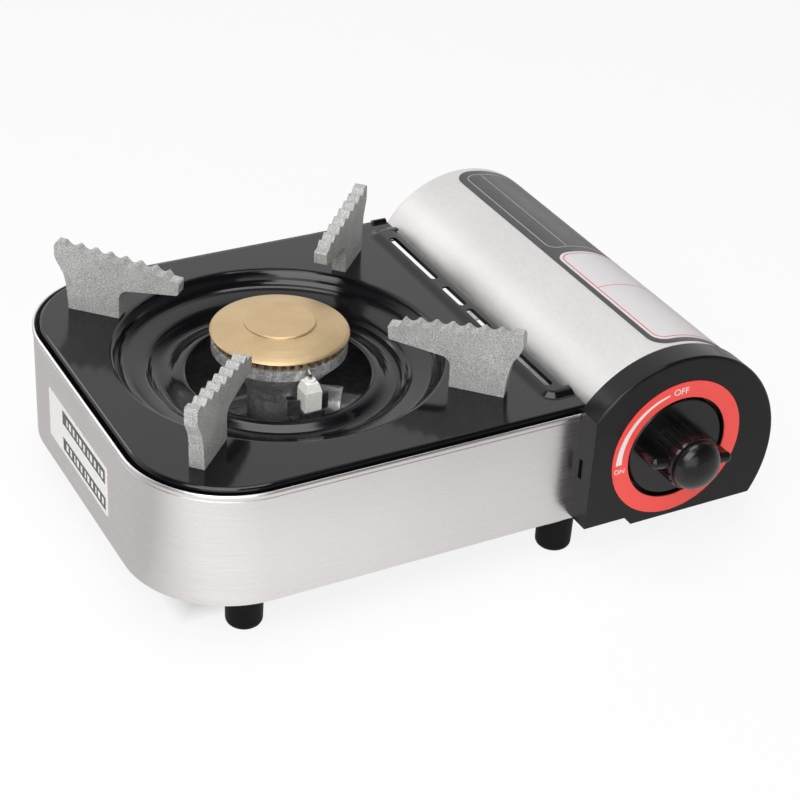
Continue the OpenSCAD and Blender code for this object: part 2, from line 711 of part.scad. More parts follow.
// Die-cast head: a cup on a bell, with a socket at its foot for the mixing tube.
module burner_head() {
    z = head_top;
    bell = [[0, z - 9], [port_ring_in - 1, z - 5.4], [port_ring_in - 1, z], [head_r, z],
        [head_r, z - 4.6], [head_r - 1.2, z - 5.2], [head_r - 4.2, z - 9], [19, z - 14.5],
        [15, z - 19], [neck_r, z - 24], [neck_r, tube_z + 6], [0, tube_z + 6]];
    color("LightGray") place() translate([burner_x, burner_y, 0]) difference() {
        union() {
            rotate_extrude() polygon(bell);
            translate([0, 0, tube_z - 9]) cylinder(r = neck_r, h = 15 + eps);
            translate([0, 0, tube_z]) rotate([0, 90, tube_angle]) cylinder(r = tube_r + 2.4, h = 27);
            translate([ign_x - burner_x - ign_lug_w / 2, -ign_lug_r - 3.5, ign_low - 5])
                cube([ign_lug_w, 15, 6]);
        }
        translate([0, 0, tube_z]) rotate([0, 90, tube_angle])
            cylinder(r = tube_r + 0.03, h = 30);
        rotate([0, 0, notch_turn]) translate([port_ring_in - 0.6, -notch_w / 2, z - 3.4])
            cube([8, notch_w, 6]);
    }
}

module mixing_tube() {
    color("Silver") place() translate([burner_x, burner_y, tube_z]) rotate([0, 90, tube_angle])
        difference() {
            translate([0, 0, tube_start]) union() {
                cylinder(r = tube_r, h = tube_len - tube_stop - tube_start);
                translate([0, 0, tube_len - tube_stop - tube_start - 6])
                    cylinder(r1 = tube_r, r2 = tube_r + 2, h = 6);
            }
            cylinder(r = tube_r - tube_t, h = tube_len);
            translate([0, 0, tube_len - tube_stop - 6])
                cylinder(r1 = tube_r - tube_t, r2 = tube_r + 2 - tube_t, h = 6 + eps);
        }
}

// Collar that slides on the tube behind the air inlet.
module air_shutter() {
    color("Gray") place() translate([burner_x, burner_y, tube_z]) rotate([0, 90, tube_angle])
        translate([0, 0, tube_len - tube_stop - 24]) difference() {
            cylinder(r = tube_r + 1.1, h = 14);
            translate([0, 0, -1]) cylinder(r = tube_r + 0.1, h = 16);
            translate([0, -2.5, 3]) cube([20, 5, 8]);
        }
}

module burner_bracket() {
    half = bracket_half;
    w = 22;
    color("DarkGray") place() translate([burner_x, burner_y, 0]) difference() {
        rotate([90, 0, 0]) translate([0, 0, -w / 2]) linear_extrude(w) polygon([
            [-half, pan_top], [half, pan_top], [half, pan_top + 1.2], [half - 11, pan_top + 1.2],
            [half - 16, bracket_top], [16 - half, bracket_top], [11 - half, pan_top + 1.2],
            [-half, pan_top + 1.2]]);
        rotate([90, 0, 0]) translate([0, 0, -w]) linear_extrude(2 * w) polygon([
            [12.4 - half, pan_top - 1], [half - 12.4, pan_top - 1], [half - 12.4, pan_top + 1.2],
            [half - 16.6, bracket_top - 1.2], [16.6 - half, bracket_top - 1.2],
            [12.4 - half, pan_top + 1.2]]);
        for (s = [-1, 1]) translate([s * bracket_hole, 0, pan_top - 1]) cylinder(r = 1.8, h = 4);
        for (s = [-1, 1]) translate([0, s * 7, bracket_top - 3]) cylinder(r = 1.8, h = 4);
    }
}

module screw_up(h, head_r, head_h) {
    cylinder(r = head_r, h = head_h, $fn = 32);
    translate([0, 0, head_h - eps]) cylinder(r = 1.5, h = h, $fn = 32);
}

module burner_screws() {
    color("Gray") place() translate([burner_x, burner_y, 0]) {
        for (s = [-1, 1]) translate([s * bracket_hole, 0, pan_z - 2.1]) screw_up(4.4, 3, 2);
        for (s = [-1, 1]) translate([0, s * 7, bracket_top - 3.3]) screw_up(1.2, 3, 2);
        translate([ign_x - burner_x, -ign_lug_r, ign_low + 1 + 2 * seam]) {
            cylinder(r = 1.2, h = 2, $fn = 32);
            translate([0, 0, 1]) cylinder(r = 2.5, h = 1.6, $fn = 32);
        }
    }
}

// ---- Gas train ----

module gas_nozzle() {
    color("Goldenrod") place() translate([burner_x, burner_y, tube_z]) rotate([0, 90, tube_angle])
        difference() {
            union() {
                translate([0, 0, tube_len - 8]) cylinder(r = 4.2, h = 4, $fn = 6);
                translate([0, 0, tube_len - 14]) cylinder(r1 = 1.8, r2 = 3.2, h = 6 + eps);
                translate([0, 0, tube_len - 4 - eps]) cylinder(r = 3, h = 4);
            }
            translate([0, 0, tube_len - 15]) cylinder(r = 0.6, h = 12);
        }
}

module gas_governor() {
    color("DarkGray") place() difference() {
        union() {
            rod_y(can_x, can_z, 16, gov_front, gov_back + eps);
            rod_y(can_x, can_z, mouth_ring_r, gov_back, mouth_y);
            translate([knob_x - 16, gov_front, knob_z - 12]) cube([36, 10, 24]);
            rod_y(knob_x, knob_z, 8.5, front_plate_y - 1.5, gov_front + eps);
            translate([burner_x, burner_y, tube_z]) rotate([0, 90, tube_angle])
                translate([0, 0, tube_len - 1]) cylinder(r = 5.4, h = 7);
            rod_y(gov_cover_x, gov_cover_z, gov_cover_r, gov_cover_y - 9, gov_cover_y);
            translate([can_x + 6, gov_cover_y - 9, gov_cover_z - 3]) cube([16, 9, 8]);
        }
        rod_y(can_x, can_z, mouth_r, mouth_y - mouth_d, mouth_y + 1);
        rod_y(can_x, can_z, magnet_r + seam, mouth_y - mouth_d - magnet_t - 0.1, mouth_y);
        rod_y(can_x, can_z, seal_r + seam, mouth_y - mouth_d - 6, mouth_y);
        rod_y(knob_x, knob_z, spindle_r + 0.05, front_plate_y - 4, spindle_back + 0.5);
        translate([burner_x, burner_y, tube_z]) rotate([0, 90, tube_angle])
            translate([0, 0, tube_len - 2]) cylinder(r = 3.05, h = 6);
        for (s = [-1, 1]) rod_y(knob_x + s * 14, knob_z, 1.3, gov_front - 1, gov_front + 7);
    }
}

// Pressed cap over the governor's diaphragm and spring.
module governor_cover() {
    r = gov_cover_r;
    y = gov_cover_y + 0.05;
    color("Silver") place() translate([gov_cover_x, y, gov_cover_z]) rotate([-90, 0, 0])
        rotate_extrude() polygon([[0, 0], [r, 0], [r, 1], [r - 3, 1], [r - 3.5, 1.6],
            [r - 4, 4.4], [r - 5, 5.2], [2, 5.2], [1.6, 4.4], [0, 4.4]]);
}

module governor_screws() {
    y = gov_cover_y + 1.1;
    color("Gray") place() for (a = [45 : 90 : 315])
        rod_y(gov_cover_x + (gov_cover_r - 1.6) * cos(a), gov_cover_z + (gov_cover_r - 1.6) * sin(a),
            1.3, y, y + 1);
}

module cartridge_seal() {
    low = mouth_y - mouth_d - 6;
    color("DimGray") place() difference() {
        rod_y(can_x, can_z, seal_r, low + 0.1, low + 2.6);
        rod_y(can_x, can_z, 2.2, low - 1, mouth_y);
    }
}

module lock_magnet() {
    back = mouth_y - mouth_d - magnet_t;
    color("DimGray") place() difference() {
        rod_y(can_x, can_z, magnet_r, back, back + magnet_t - 0.1);
        rod_y(can_x, can_z, seal_r + 2, back - 1, mouth_y);
    }
}

// Stamped plate whose tongue enters the notch in the cartridge's collar.
module locating_plate() {
    color("Silver") place() difference() {
        union() {
            rod_y(can_x, can_z, mouth_ring_r + 3, mouth_y + 0.1, mouth_y + 1.1);
            translate([can_x - 3, mouth_y + 1, can_z + mouth_r + 0.8]) cube([6, 5, 1]);
        }
        rod_y(can_x, can_z, mouth_r + 0.6, mouth_y - 1, mouth_y + 3);
        for (s = [-1, 1]) rod_y(can_x + s * 20.2, can_z, 1.2, mouth_y - 1, mouth_y + 3);
    }
}

// ---- Igniter ----

module igniter_ceramic() {
    w = ign_w;
    color("WhiteSmoke") place() translate([ign_x, ign_y, ign_low]) difference() {
        union() {
            translate([-w / 2, -w / 2, 0]) cube([w, w, 12.8]);
            translate([0, 0, 12.7]) rotate(45)
                cylinder(r1 = (w / 2 - 0.05) * sqrt(2), r2 = 3.7, h = 3.5, $fn = 4);
            translate([0, 0, 16]) cylinder(r1 = 2.5, r2 = 2.2, h = 1.2);
            translate([0, 0, -2.6]) cylinder(r = 2.6, h = 2.6 + eps);
        }
        translate([0, 0, -4]) cylinder(r = 0.85, h = 24);
    }
}

module igniter_electrode() {
    color("Silver") place() translate([ign_x, ign_y, ign_low]) {
        translate([0, 0, -2.6]) cylinder(r = 0.75, h = 22.2);
        translate([0, 0, 19.2]) rotate([0, 70, ign_turn + 180]) cylinder(r = 0.65, h = 2.2);
    }
}

// Strap round the ceramic, with a tab that is screwed to the head's lug.
module igniter_bracket() {
    w = ign_w / 2 + seam;
    t = 0.9;
    z = ign_low + 1 + seam;
    color("DimGray") place() difference() {
        union() {
            translate([ign_x - w - t, ign_y - w - t, z]) cube([2 * (w + t), 2 * (w + t), 3]);
            translate([ign_x - ign_lug_w / 2, ign_y + w, z])
                cube([ign_lug_w, burner_y - ign_lug_r + 3.4 - ign_y - w, t]);
            for (s = [-1, 1]) translate([ign_x + s * (w + t / 2), ign_y, z]) rotate([0, 0, s * 20])
                translate([s > 0 ? 0 : -5, -0.5, 0]) cube([5, 1, 7]);
        }
        translate([ign_x - w, ign_y - w, z - 1]) cube([2 * w, 2 * w, 6]);
        translate([ign_x, burner_y - ign_lug_r, z - 1]) cylinder(r = 1.5, h = 4);
    }
}

// Points of a smooth curve through a route's points, n to a stretch.
function smooth(p, n) = concat([for (i = [0 : len(p) - 2], k = [0 : n - 1])
    let (t = k / n, a = p[max(i - 1, 0)], b = p[i], c = p[i + 1], d = p[min(i + 2, len(p) - 1)])
    (2 * b + t * (c - a) + t * t * (2 * a - 5 * b + 4 * c - d)
        + t * t * t * (3 * b - a - 3 * c + d)) / 2], [p[len(p) - 1]]);

// A tube swept along a route of points, r in radius.
module swept_tube(route, r, sides) {
    n = len(route);
    rings = [for (i = [0 : n - 1])
        let (d = route[min(i + 1, n - 1)] - route[max(i - 1, 0)], t = d / norm(d),
            s = cross(t, abs(t[2]) > 0.9 ? [1, 0, 0] : [0, 0, 1]), u = s / norm(s), v = cross(t, u))
        for (k = [0 : sides - 1])
            route[i] + r * (cos(360 * k / sides) * u + sin(360 * k / sides) * v)];
    walls = [for (i = [0 : n - 2], k = [0 : sides - 1])
        let (a = i * sides + k, b = i * sides + (k + 1) % sides) [a, b, b + sides, a + sides]];
    polyhedron(rings, concat(walls, [[for (k = [sides - 1 : -1 : 0]) k]],
        [[for (k = [0 : sides - 1]) (n - 1) * sides + k]]));
}

module ignition_lead() {
    color("White") place() swept_tube(smooth(lead_route, 3), lead_r, 8);
}

module piezo_igniter() {
    color("DimGray") place() difference() {
        union() {
            translate([piezo_x, piezo_y, piezo_z]) cube([piezo_w, piezo_d, piezo_h]);
            translate([lead_end[0], lead_end[1], piezo_z + piezo_h - eps])
                cylinder(r = 2.2, h = lead_end[2] - piezo_z - piezo_h - seam);
        }
        rod_y(plunger_x, knob_z, plunger_r + 0.05, piezo_y - 1, piezo_y + 12);
    }
}

// Plunger that the knob's cam drives into the piezo unit.
module piezo_plunger() {
    color("White") place()
        rod_y(plunger_x, knob_z, plunger_r, plunger_tip, piezo_y + 12 - cam_rise - 0.5);
}

// ---- Control panel ----

// The panel's rounded body, d deep, r in radius, rounded at its front edge.
module panel_body(r, d, left, low, round_r) {
    step_x = panel_x - 17.3;
    step_h = 4;
    intersection() {
        translate([panel_x, 0, panel_z]) rotate([90, 0, 0]) rotate_extrude()
            polygon(concat([[0, 0], [r, 0], [r, d - round_r]],
                arc_points(r - round_r, d - round_r, round_r, 0, 90, 5), [[0, d]]));
        union() {
            translate([left, -d - 1, low + step_h]) cube([2 * r, d + 2, 2 * r]);
            translate([step_x + (left - panel_left), -d - 1, low]) cube([2 * r, d + 2, step_h + 1]);
        }
    }
}

module control_panel() {
    color("DimGray") place() difference() {
        union() {
            difference() {
                panel_body(panel_r, panel_d, panel_left, panel_low, 1.4);
                panel_body(panel_r - panel_t, panel_d - panel_t, panel_left + panel_t,
                    panel_low + panel_t, 0.6);
            }
            rod_y(knob_x, knob_z, well_r + panel_t, well_y - 0.5, well_y + panel_t);
            rod_y(knob_x, knob_z, well_r + panel_t, -panel_d + 1, well_y);
            for (s = panel_screw_places) rod_y(s[0], s[1], 3.2, -panel_d + 1, front_plate_y - seam);
        }
        rod_y(knob_x, knob_z, well_r, -panel_d - 1, well_y);
        rod_y(knob_x, knob_z, spindle_r + 1, -panel_d, 1);
        for (s = panel_screw_places) rod_y(s[0], s[1], 1.3, -panel_d + 3, 1);
        translate([panel_left - 1, -5.2, panel_z - 0.6]) cube([2, 2.6, 9]);
    }
}

module dial_ring() {
    color("Tomato") place() difference() {
        rod_y(knob_x, knob_z, ring_r, -panel_d - ring_t, -panel_d);
        rod_y(knob_x, knob_z, well_r, -panel_d - 1, 1);
    }
}

module panel_screws() {
    color("Gray") place() {
        for (s = panel_screw_places) {
            rod_y(s[0], s[1], 1.2, -panel_d + 4, 0.1 + eps);
            rod_y(s[0], s[1], 2.8, 0.05, 1.7);
        }
        for (s = [-1, 1]) {
            rod_y(knob_x + s * 14, knob_z, 1.2, front_plate_y - 0.2, gov_front + 6);
            rod_y(knob_x + s * 14, knob_z, 2.6, front_plate_y - 1.5, front_plate_y - seam);
        }
    }
}

// ---- Knob ----

rib_count = 18;
dome_r = grip_r - 1.2;
groove_r = 0.9;

module control_knob() {
    front = panel_d + grip_len;
    back = -disc_back;
    rod = wing_t / 2;
    dome_foot = front + 1.1;
    color("Black") place() translate([knob_x, 0, knob_z]) rotate([90, 0, 0]) difference() {
        union() {
            rotate_extrude() polygon(concat([[0, back], [disc_r - 0.5, back], [disc_r, back + 0.5],
                [disc_r, back + disc_t - 0.6], [disc_r - 0.6, back + disc_t], [grip_r, back + disc_t],
                [grip_r, front - 0.4], [grip_r - 0.5, front + 0.5], [dome_r - 0.4, front + 0.7]],
                [for (i = [0 : 11]) [dome_r * cos(7.6 * i),
                    dome_foot + (dome_h - 1.1) * sin(7.6 * i)]],
                [[1, front + dome_h], [0, front + dome_h]]));
            rotate([0, 0, -wing_turn]) {
                translate([rod - wing_r, 0.2 - rod, back + 0.5])
                    cube([2 * (wing_r - rod), 2 * rod - 0.4, front - back - 0.5 - rod]);
                for (s = [-1, 1]) translate([s * (wing_r - rod), 0, back + 0.5])
                    cylinder(r = rod - 0.2, h = front - back - 0.5 - rod);
                translate([0, 0, front - rod]) rotate([0, 90, 0]) rotate_extrude() polygon(concat(
                    [[0, -wing_r]], arc_points(0, rod - wing_r, rod, -70, -10, 4),
                    arc_points(0, wing_r - rod, rod, 10, 70, 4), [[0, wing_r]]));
            }
        }
        for (i = [0 : rib_count - 1]) rotate([0, 0, (i + 0.5) * 360 / rib_count])
            if (abs(abs(((i + 0.5) * 360 / rib_count + wing_turn + 90) % 180 - 90)) > 17)
                translate([grip_r + 0.25, 0, back + disc_t + 0.8]) cylinder(r = groove_r, h = grip_len);
        translate([0, 0, back - 1]) cylinder(r = spindle_r + 0.02, h = -spindle_front - back + 1.2);
    }
}

module valve_spindle() {
    color("Silver") place() rod_y(knob_x, knob_z, spindle_r, spindle_front, spindle_back);
}

cam_step = 8;
cam_lead = 4;              // the ramp starts a little ahead of the plunger
cam_hub = 7;

// Face cam on the spindle: a ramp in small steps that drives the piezo's plunger.
module ignition_cam() {
    n = ceil((turn + 2 * cam_lead) / cam_step);
    wide = plunger_r + 0.3;
    color("White") place() translate([knob_x, cam_front, knob_z]) rotate([-90, 0, 0])
        difference() {
            union() {
                cylinder(r = cam_hub, h = 2);
                rotate([0, 0, -cam_lead]) rotate_extrude(angle = n * cam_step)
                    translate([cam_hub - 1, 0]) square([cam_r + wide - cam_hub + 1, cam_web]);
                for (k = [2 : n - 1]) rotate([0, 0, -cam_lead + k * cam_step - eps])
                    rotate_extrude(angle = cam_step + (k < n - 1 ? 2 * eps : eps))
                        translate([cam_r - wide, cam_web - eps])
                            square([2 * wide, cam_rise * (k * cam_step - 10) / turn + eps]);
            }
            translate([0, 0, -1]) cylinder(r = spindle_r + 0.02, h = 5);
        }
}

// ---- Lid and hinge ----

// The lid's sheet: radius against distance from the front, its rear edge turned in.
module lid_profile() {
    e = 2.4;
    polygon(concat([[lid_r - sheet_t, -lid_front], [lid_r, -lid_front], [lid_r, -lid_end + e]],
        arc_points(lid_r - e, -lid_end + e, e, 0, -90, 5),
        [[lid_r - lid_flange, -lid_end], [lid_r - lid_flange, -lid_end + sheet_t]],
        arc_points(lid_r - e, -lid_end + e, e - sheet_t, -90, 0, 4)));
}

module lid_ear_shape() {
    low = lid_z - lid_r * sin(lid_edge_angle);
    intersection() {
        translate([lid_x, lid_z]) circle(lid_r - sheet_t / 2);
        union() {
            translate([hinge_x, hinge_z]) circle(ear_r);
            translate([hinge_x, low]) square([12, hinge_z + ear_r - low]);
        }
    }
}

module cartridge_lid() {
    color("Gainsboro") place() difference() {
        union() {
            translate([lid_x, 0, lid_z]) rotate([90, 0, 0]) rotate([0, 0, -lid_edge_angle])
                rotate_extrude(angle = lid_open_angle + lid_edge_angle) lid_profile();
            for (y = [lid_front, lid_end - ear_t]) along_y(y, y + ear_t) lid_ear_shape();
        }
        rod_y(hinge_x, hinge_z, hinge_pin_r + hinge_gap, 0, lid_end + 1);
    }
}

module hinge_pin_front() {
    color("DarkGray") place() {
        rod_y(hinge_x, hinge_z, hinge_pin_r, front_plate_y - 0.4, lid_front + ear_t + 1);
        rod_y(hinge_x, hinge_z, hinge_pin_r + 1.2, front_plate_y - 1.4, front_plate_y - seam);
    }
}

module hinge_pin_rear() {
    color("DarkGray") place() {
        rod_y(hinge_x, hinge_z, hinge_pin_r, lid_end - ear_t - 1, tray_end + 0.4);
        rod_y(hinge_x, hinge_z, hinge_pin_r + 1.2, tray_end + seam, tray_end + 1);
    }
}

// Ear that stands on the bay's floor behind the lid's rear end.
module hinge_bracket_rear() {
    y0 = tray_end - ear_t;
    color("Silver") place() difference() {
        union() {
            along_y(y0, tray_end) {
                translate([hinge_x, hinge_z]) circle(ear_r);
                translate([hinge_x - ear_r, tray_top + seam])
                    square([rail_x - 2 * sheet_t - fit - hinge_x + ear_r, hinge_z - tray_top - seam]);
            }
            translate([hinge_x - ear_r - 6, tray_end - 5, tray_top + seam])
                cube([8, 5, 1]);
        }
        rod_y(hinge_x, hinge_z, hinge_pin_r + 0.02, y0 - 1, tray_end + 1);
    }
}

// ---- Feet ----

// A rubber foot with a rounded lower edge, under a sheet at height top.
module foot(place_xy, top) {
    r = foot_r;
    e = 2.6;
    color("Black") place() translate([place_xy[0], place_xy[1], 0]) difference() {
        rotate_extrude() polygon(concat([[0, 0], [r - e - 0.4, 0]],
            arc_points(r - e - 0.2, e, e, -90, 0, 5), [[r, top], [0, top]]));
        translate([0, 0, 3]) cylinder(r = foot_screw_r - 0.1, h = top);
    }
}

foot_top_left = pan_z;
foot_top_right = tray_low;

module foot_front_left() { foot(feet[0], foot_top_left); }
module foot_front_right() { foot(feet[1], foot_top_right); }
module foot_rear_left() { foot(feet[2], foot_top_left); }
module foot_rear_right() { foot(feet[3], foot_top_right); }

module foot_screws() {
    color("Gray") place() for (f = feet) {
        top = f[0] < partition_x ? pan_top : tray_top;
        translate([f[0], f[1], top - 9]) cylinder(r = foot_screw_r - 0.12, h = 9 + eps, $fn = 32);
        translate([f[0], f[1], top + 0.05]) cylinder(r = 3, h = 1.8, $fn = 32);
    }
}

side_wall();
base_pan();
top_plate();
bay_tray();
valve_plate();
pan_support_rear_left();
pan_support_rear_right();
pan_support_front_right();
pan_support_front_left();
pan_support_screws();
burner_cap();
burner_head();
mixing_tube();
air_shutter();
burner_bracket();
burner_screws();
gas_nozzle();
gas_governor();
governor_cover();
governor_screws();
cartridge_seal();
lock_magnet();
locating_plate();
cartridge_saddle();
igniter_ceramic();
igniter_electrode();
igniter_bracket();
ignition_lead();
piezo_igniter();
piezo_plunger();
control_panel();
dial_ring();
panel_screws();
control_knob();
valve_spindle();
ignition_cam();
cartridge_lid();
hinge_pin_front();
hinge_pin_rear();
hinge_bracket_rear();
foot_front_left();
foot_front_right();
foot_rear_left();
foot_rear_right();
foot_screws();
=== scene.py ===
# %% [markdown]
# # A cassette stove, dressed for a portrait
#
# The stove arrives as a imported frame: forty-five named pieces in metres, already in
# their places. Blender's share is what a plain solid can't show, such as brushing in
# steel, gloss in enamel, the grain of a casting, and thin printed sheets.

# %% Load the frame
import json
import math

import bmesh
import bpy
from mathutils import Matrix, Vector

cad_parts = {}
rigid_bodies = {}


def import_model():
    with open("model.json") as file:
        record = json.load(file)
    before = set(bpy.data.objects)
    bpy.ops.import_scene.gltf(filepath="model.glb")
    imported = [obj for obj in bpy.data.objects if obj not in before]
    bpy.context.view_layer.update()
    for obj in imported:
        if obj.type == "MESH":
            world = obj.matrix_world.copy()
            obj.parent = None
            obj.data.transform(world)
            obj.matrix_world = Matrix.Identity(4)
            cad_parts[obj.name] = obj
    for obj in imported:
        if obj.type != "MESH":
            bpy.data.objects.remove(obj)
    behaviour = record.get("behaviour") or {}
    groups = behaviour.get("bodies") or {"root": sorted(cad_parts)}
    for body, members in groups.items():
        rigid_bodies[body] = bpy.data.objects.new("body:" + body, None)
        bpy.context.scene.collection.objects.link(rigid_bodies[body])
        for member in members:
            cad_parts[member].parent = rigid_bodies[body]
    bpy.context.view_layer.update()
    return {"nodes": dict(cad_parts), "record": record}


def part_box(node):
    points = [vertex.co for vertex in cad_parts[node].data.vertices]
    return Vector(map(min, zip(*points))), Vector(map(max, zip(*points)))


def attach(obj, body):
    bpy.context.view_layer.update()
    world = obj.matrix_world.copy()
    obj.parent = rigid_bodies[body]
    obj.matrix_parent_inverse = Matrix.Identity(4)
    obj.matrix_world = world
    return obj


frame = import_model()
nodes = frame["nodes"]

# %% [markdown]
# The stove's own drawing counts millimetres from the outer corner of its steel wall:
# x from the left wall, y from the front wall, z from the table. The frame counts metres
# from the middle of the whole stove. One helper turns the first into the second, so
# every added piece can use the drawing's sizes.

# %% A helper for places
MM = 0.001
HEM = 0.4 * MM  # the wall's hem stands this far outside its face
wall_low, wall_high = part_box("side_wall")
wall_left, wall_front = wall_low.x + HEM, wall_low.y + HEM


def at(x, y, z):
    """A place given in millimetres from the steel wall's front left corner."""
    return Vector((wall_left + x * MM, wall_front + y * MM, z * MM))


print("wall corner", [round(v, 4) for v in at(0, 0, 0)])

# %% [markdown]
# ## Camera
#
# A long lens looks from the front left, about thirty degrees above the table. It could
# be aimed with a tracking constraint, but then a small roll is hard to add. Here two
# angles and the roll give the camera's own three axes, and one matrix holds them all.

# %% Place the camera
TURN, RISE, ROLL = -0.522418, 0.560583, 0.064071  # radians
EYE = -222.63, -550.04, 494.45                    # millimetres from the wall's corner
LENS_MM, FAR_M = 90.12, 20
camera = bpy.data.objects.new("camera", bpy.data.cameras.new("camera"))
bpy.context.scene.collection.objects.link(camera)
camera.data.lens = LENS_MM
camera.data.clip_end = FAR_M
back = Vector((math.sin(TURN) * math.cos(RISE),
               -math.cos(TURN) * math.cos(RISE), math.sin(RISE)))
level = Vector((math.cos(TURN), math.sin(TURN), 0))
upright = back.cross(level)
right = level * math.cos(ROLL) + upright * math.sin(ROLL)
up = upright * math.cos(ROLL) - level * math.sin(ROLL)
axes = Matrix((right, up, back)).transposed().to_4x4()
camera.matrix_world = Matrix.Translation(at(*EYE)) @ axes
bpy.context.scene.camera = camera
bpy.context.scene.view_settings.view_transform = "Standard"
print("camera at", [round(v, 3) for v in camera.location])

# %% [markdown]
# ## Shader maths as Python
#
# A material is a net of nodes. Built one by one, with every link spelled out, a long
# net is hard to read. `Wire` stands for one output, and Python's own arithmetic on it
# adds Math nodes. `Net` holds the tree and has one method, `add`, for every other node:
# its type, its settings, its sockets.

# %% Wrap sockets and trees
class Wire:
    """One output of a node."""

    def __init__(self, net, socket):
        self.net, self.socket = net, socket

    def math(self, operation, *values):
        return self.net.add("ShaderNodeMath", {"operation": operation}, dict(enumerate(values)))

    def __add__(self, other):
        return self.math("ADD", self, other)

    def __sub__(self, other):
        return self.math("SUBTRACT", self, other)

    def __rsub__(self, other):
        return self.math("SUBTRACT", other, self)

    def __mul__(self, other):
        return self.math("MULTIPLY", self, other)

    __radd__, __rmul__ = __add__, __mul__


class Net:
    """A tree of nodes that is being built."""

    def __init__(self, tree):
        self.tree = tree

    def add(self, kind, settings=None, sockets=None, out=0):
        node = self.tree.nodes.new(kind)
        for key, value in (settings or {}).items():
            if key == "stops":
                ramp = node.color_ramp
                while len(ramp.elements) < len(value):
                    ramp.elements.new(0.5)
                for element, (position, colour) in zip(ramp.elements, value):
                    element.position, element.color = position, (*colour, 1)
            else:
                setattr(node, key, value)
        for key, value in (sockets or {}).items():
            self.set(node.inputs[key], value)
        return Wire(self, node.outputs[out])

    def set(self, socket, value):
        if isinstance(value, Wire):
            self.tree.links.new(value.socket, socket)
        elif isinstance(value, tuple) and len(value) == 3 and socket.type == "RGBA":
            socket.default_value = (*value, 1)
        else:
            socket.default_value = value

    def mix(self, share, a, b):
        """Colour a, going over to b as share goes from 0 to 1."""
        sockets = {"Factor": share, 6: a, 7: b}
        return self.add("ShaderNodeMix", {"data_type": "RGBA"}, sockets, out=2)


print("nets ready")

# %% [markdown]
# ## Patterns shared by the finishes
#
# All the finishes are built on the piece's own coordinates in metres, so a pattern
# stays in the metal when a body moves, and needs no unwrapping. `noise` gives soft
# random patches, and a noise drawn out along one axis gives the lines of brushed metal.
# `between` carries a value to another range, and `bumps` turns a height into a normal.

# %% Noise in the piece's own metres
GENERATED, OBJECT = 0, 3  # outputs of the Texture Coordinate node


def place(net, stretch=(1, 1, 1)):
    """A place on a piece, with each axis scaled by a share of its own."""
    own = net.add("ShaderNodeTexCoord", out=OBJECT)
    return net.add("ShaderNodeMapping", None, {"Vector": own, "Scale": stretch})


def own_place(net, out=OBJECT):
    """The x, y and z of a place on a piece, or of a direction in the world's net."""
    vector = net.add("ShaderNodeTexCoord", out=out)
    return [net.add("ShaderNodeSeparateXYZ", None, {"Vector": vector}, out=i) for i in range(3)]


def noise(net, size_mm, stretch=(1, 1, 1), detail=2.0, rough=0.5):
    """Noise whose patches are about size_mm across before the stretch."""
    sockets = {"Vector": place(net, stretch), "Scale": 1 / (size_mm * MM),
               "Detail": detail, "Roughness": rough}
    return net.add("ShaderNodeTexNoise", None, sockets)


def between(net, value, low, high, to_low=0.0, to_high=1.0):
    """Value carried from one range to another, and held at its ends."""
    sockets = {"Value": value, "From Min": low, "From Max": high,
               "To Min": to_low, "To Max": to_high}
    return net.add("ShaderNodeMapRange", None, sockets)


def bumps(net, height, depth_mm):
    """A normal for relief that is depth_mm deep where height runs from 0 to 1."""
    return net.add("ShaderNodeBump", None, {"Height": height, "Distance": depth_mm * MM})


print("patterns ready")

# %% [markdown]
# A finish is one Principled BSDF. Values that are the same all over go straight on
# its sockets, and only what changes over the surface is linked. So a finish can be
# written in one line: a number stays a number, and a function is called to build nodes.

# %% A helper that makes a finish
def finish(name, **sockets):
    """A material from values by socket name, with _ for a space; a function makes its own."""
    material = bpy.data.materials.new(name)
    material.use_nodes = True
    net = Net(material.node_tree)
    shader = material.node_tree.nodes["Principled BSDF"]
    for key, value in sockets.items():
        made = value(net) if callable(value) else value
        net.set(shader.inputs[key.replace("_", " ")], made)
    return material


print("finish ready")

# %% [markdown]
# ## Brushed stainless steel
#
# The wall's band is brushed along its run before it is bent, so its lines lie level
# all the way round, and each reflection is drawn out upright. That makes the tall
# bright band on the round corner. Anisotropy alone would look like a perfect lathe
# cut, so streaks in the colour, the roughness and the relief join it. The lid's lines
# run along its length, and there the streaks do the work by themselves, because the
# shader's own direction turns round the upright axis and doesn't fit a lying cylinder.

# %% Brushed steel, with its lines along one direction
STREAK_DARK = 0.84      # a dark streak's share of the steel's colour
STREAK_DEPTH_MM = 0.012


def brushed(name, stretch_fine, stretch_long, colour, smooth, rough, **more):
    """Steel with fine lines and sparse scratches, each drawn out by its own stretch."""

    def tone(net):
        streak = noise(net, 1.0, stretch_fine, 3.0, 0.6)
        cloud = noise(net, 60.0, (1, 1, 1), 2.0)
        light = between(net, streak * 0.75 + cloud * 0.25, 0.32, 0.68)
        dark = tuple(STREAK_DARK * v for v in colour)
        return net.mix(light, dark, colour)

    def polish(net):
        streak = noise(net, 1.0, stretch_fine, 3.0, 0.6)
        return between(net, streak, 0.3, 0.7, smooth, rough)

    def relief(net):
        fine = noise(net, 1.0, stretch_fine, 2.0, 0.7)
        scratch = between(net, noise(net, 1.0, stretch_long, 1.0), 0.62, 0.66)
        return bumps(net, fine - 0.35 * scratch, STREAK_DEPTH_MM)

    return finish(name, Base_Color=tone, Roughness=polish, Normal=relief, Metallic=1.0, **more)


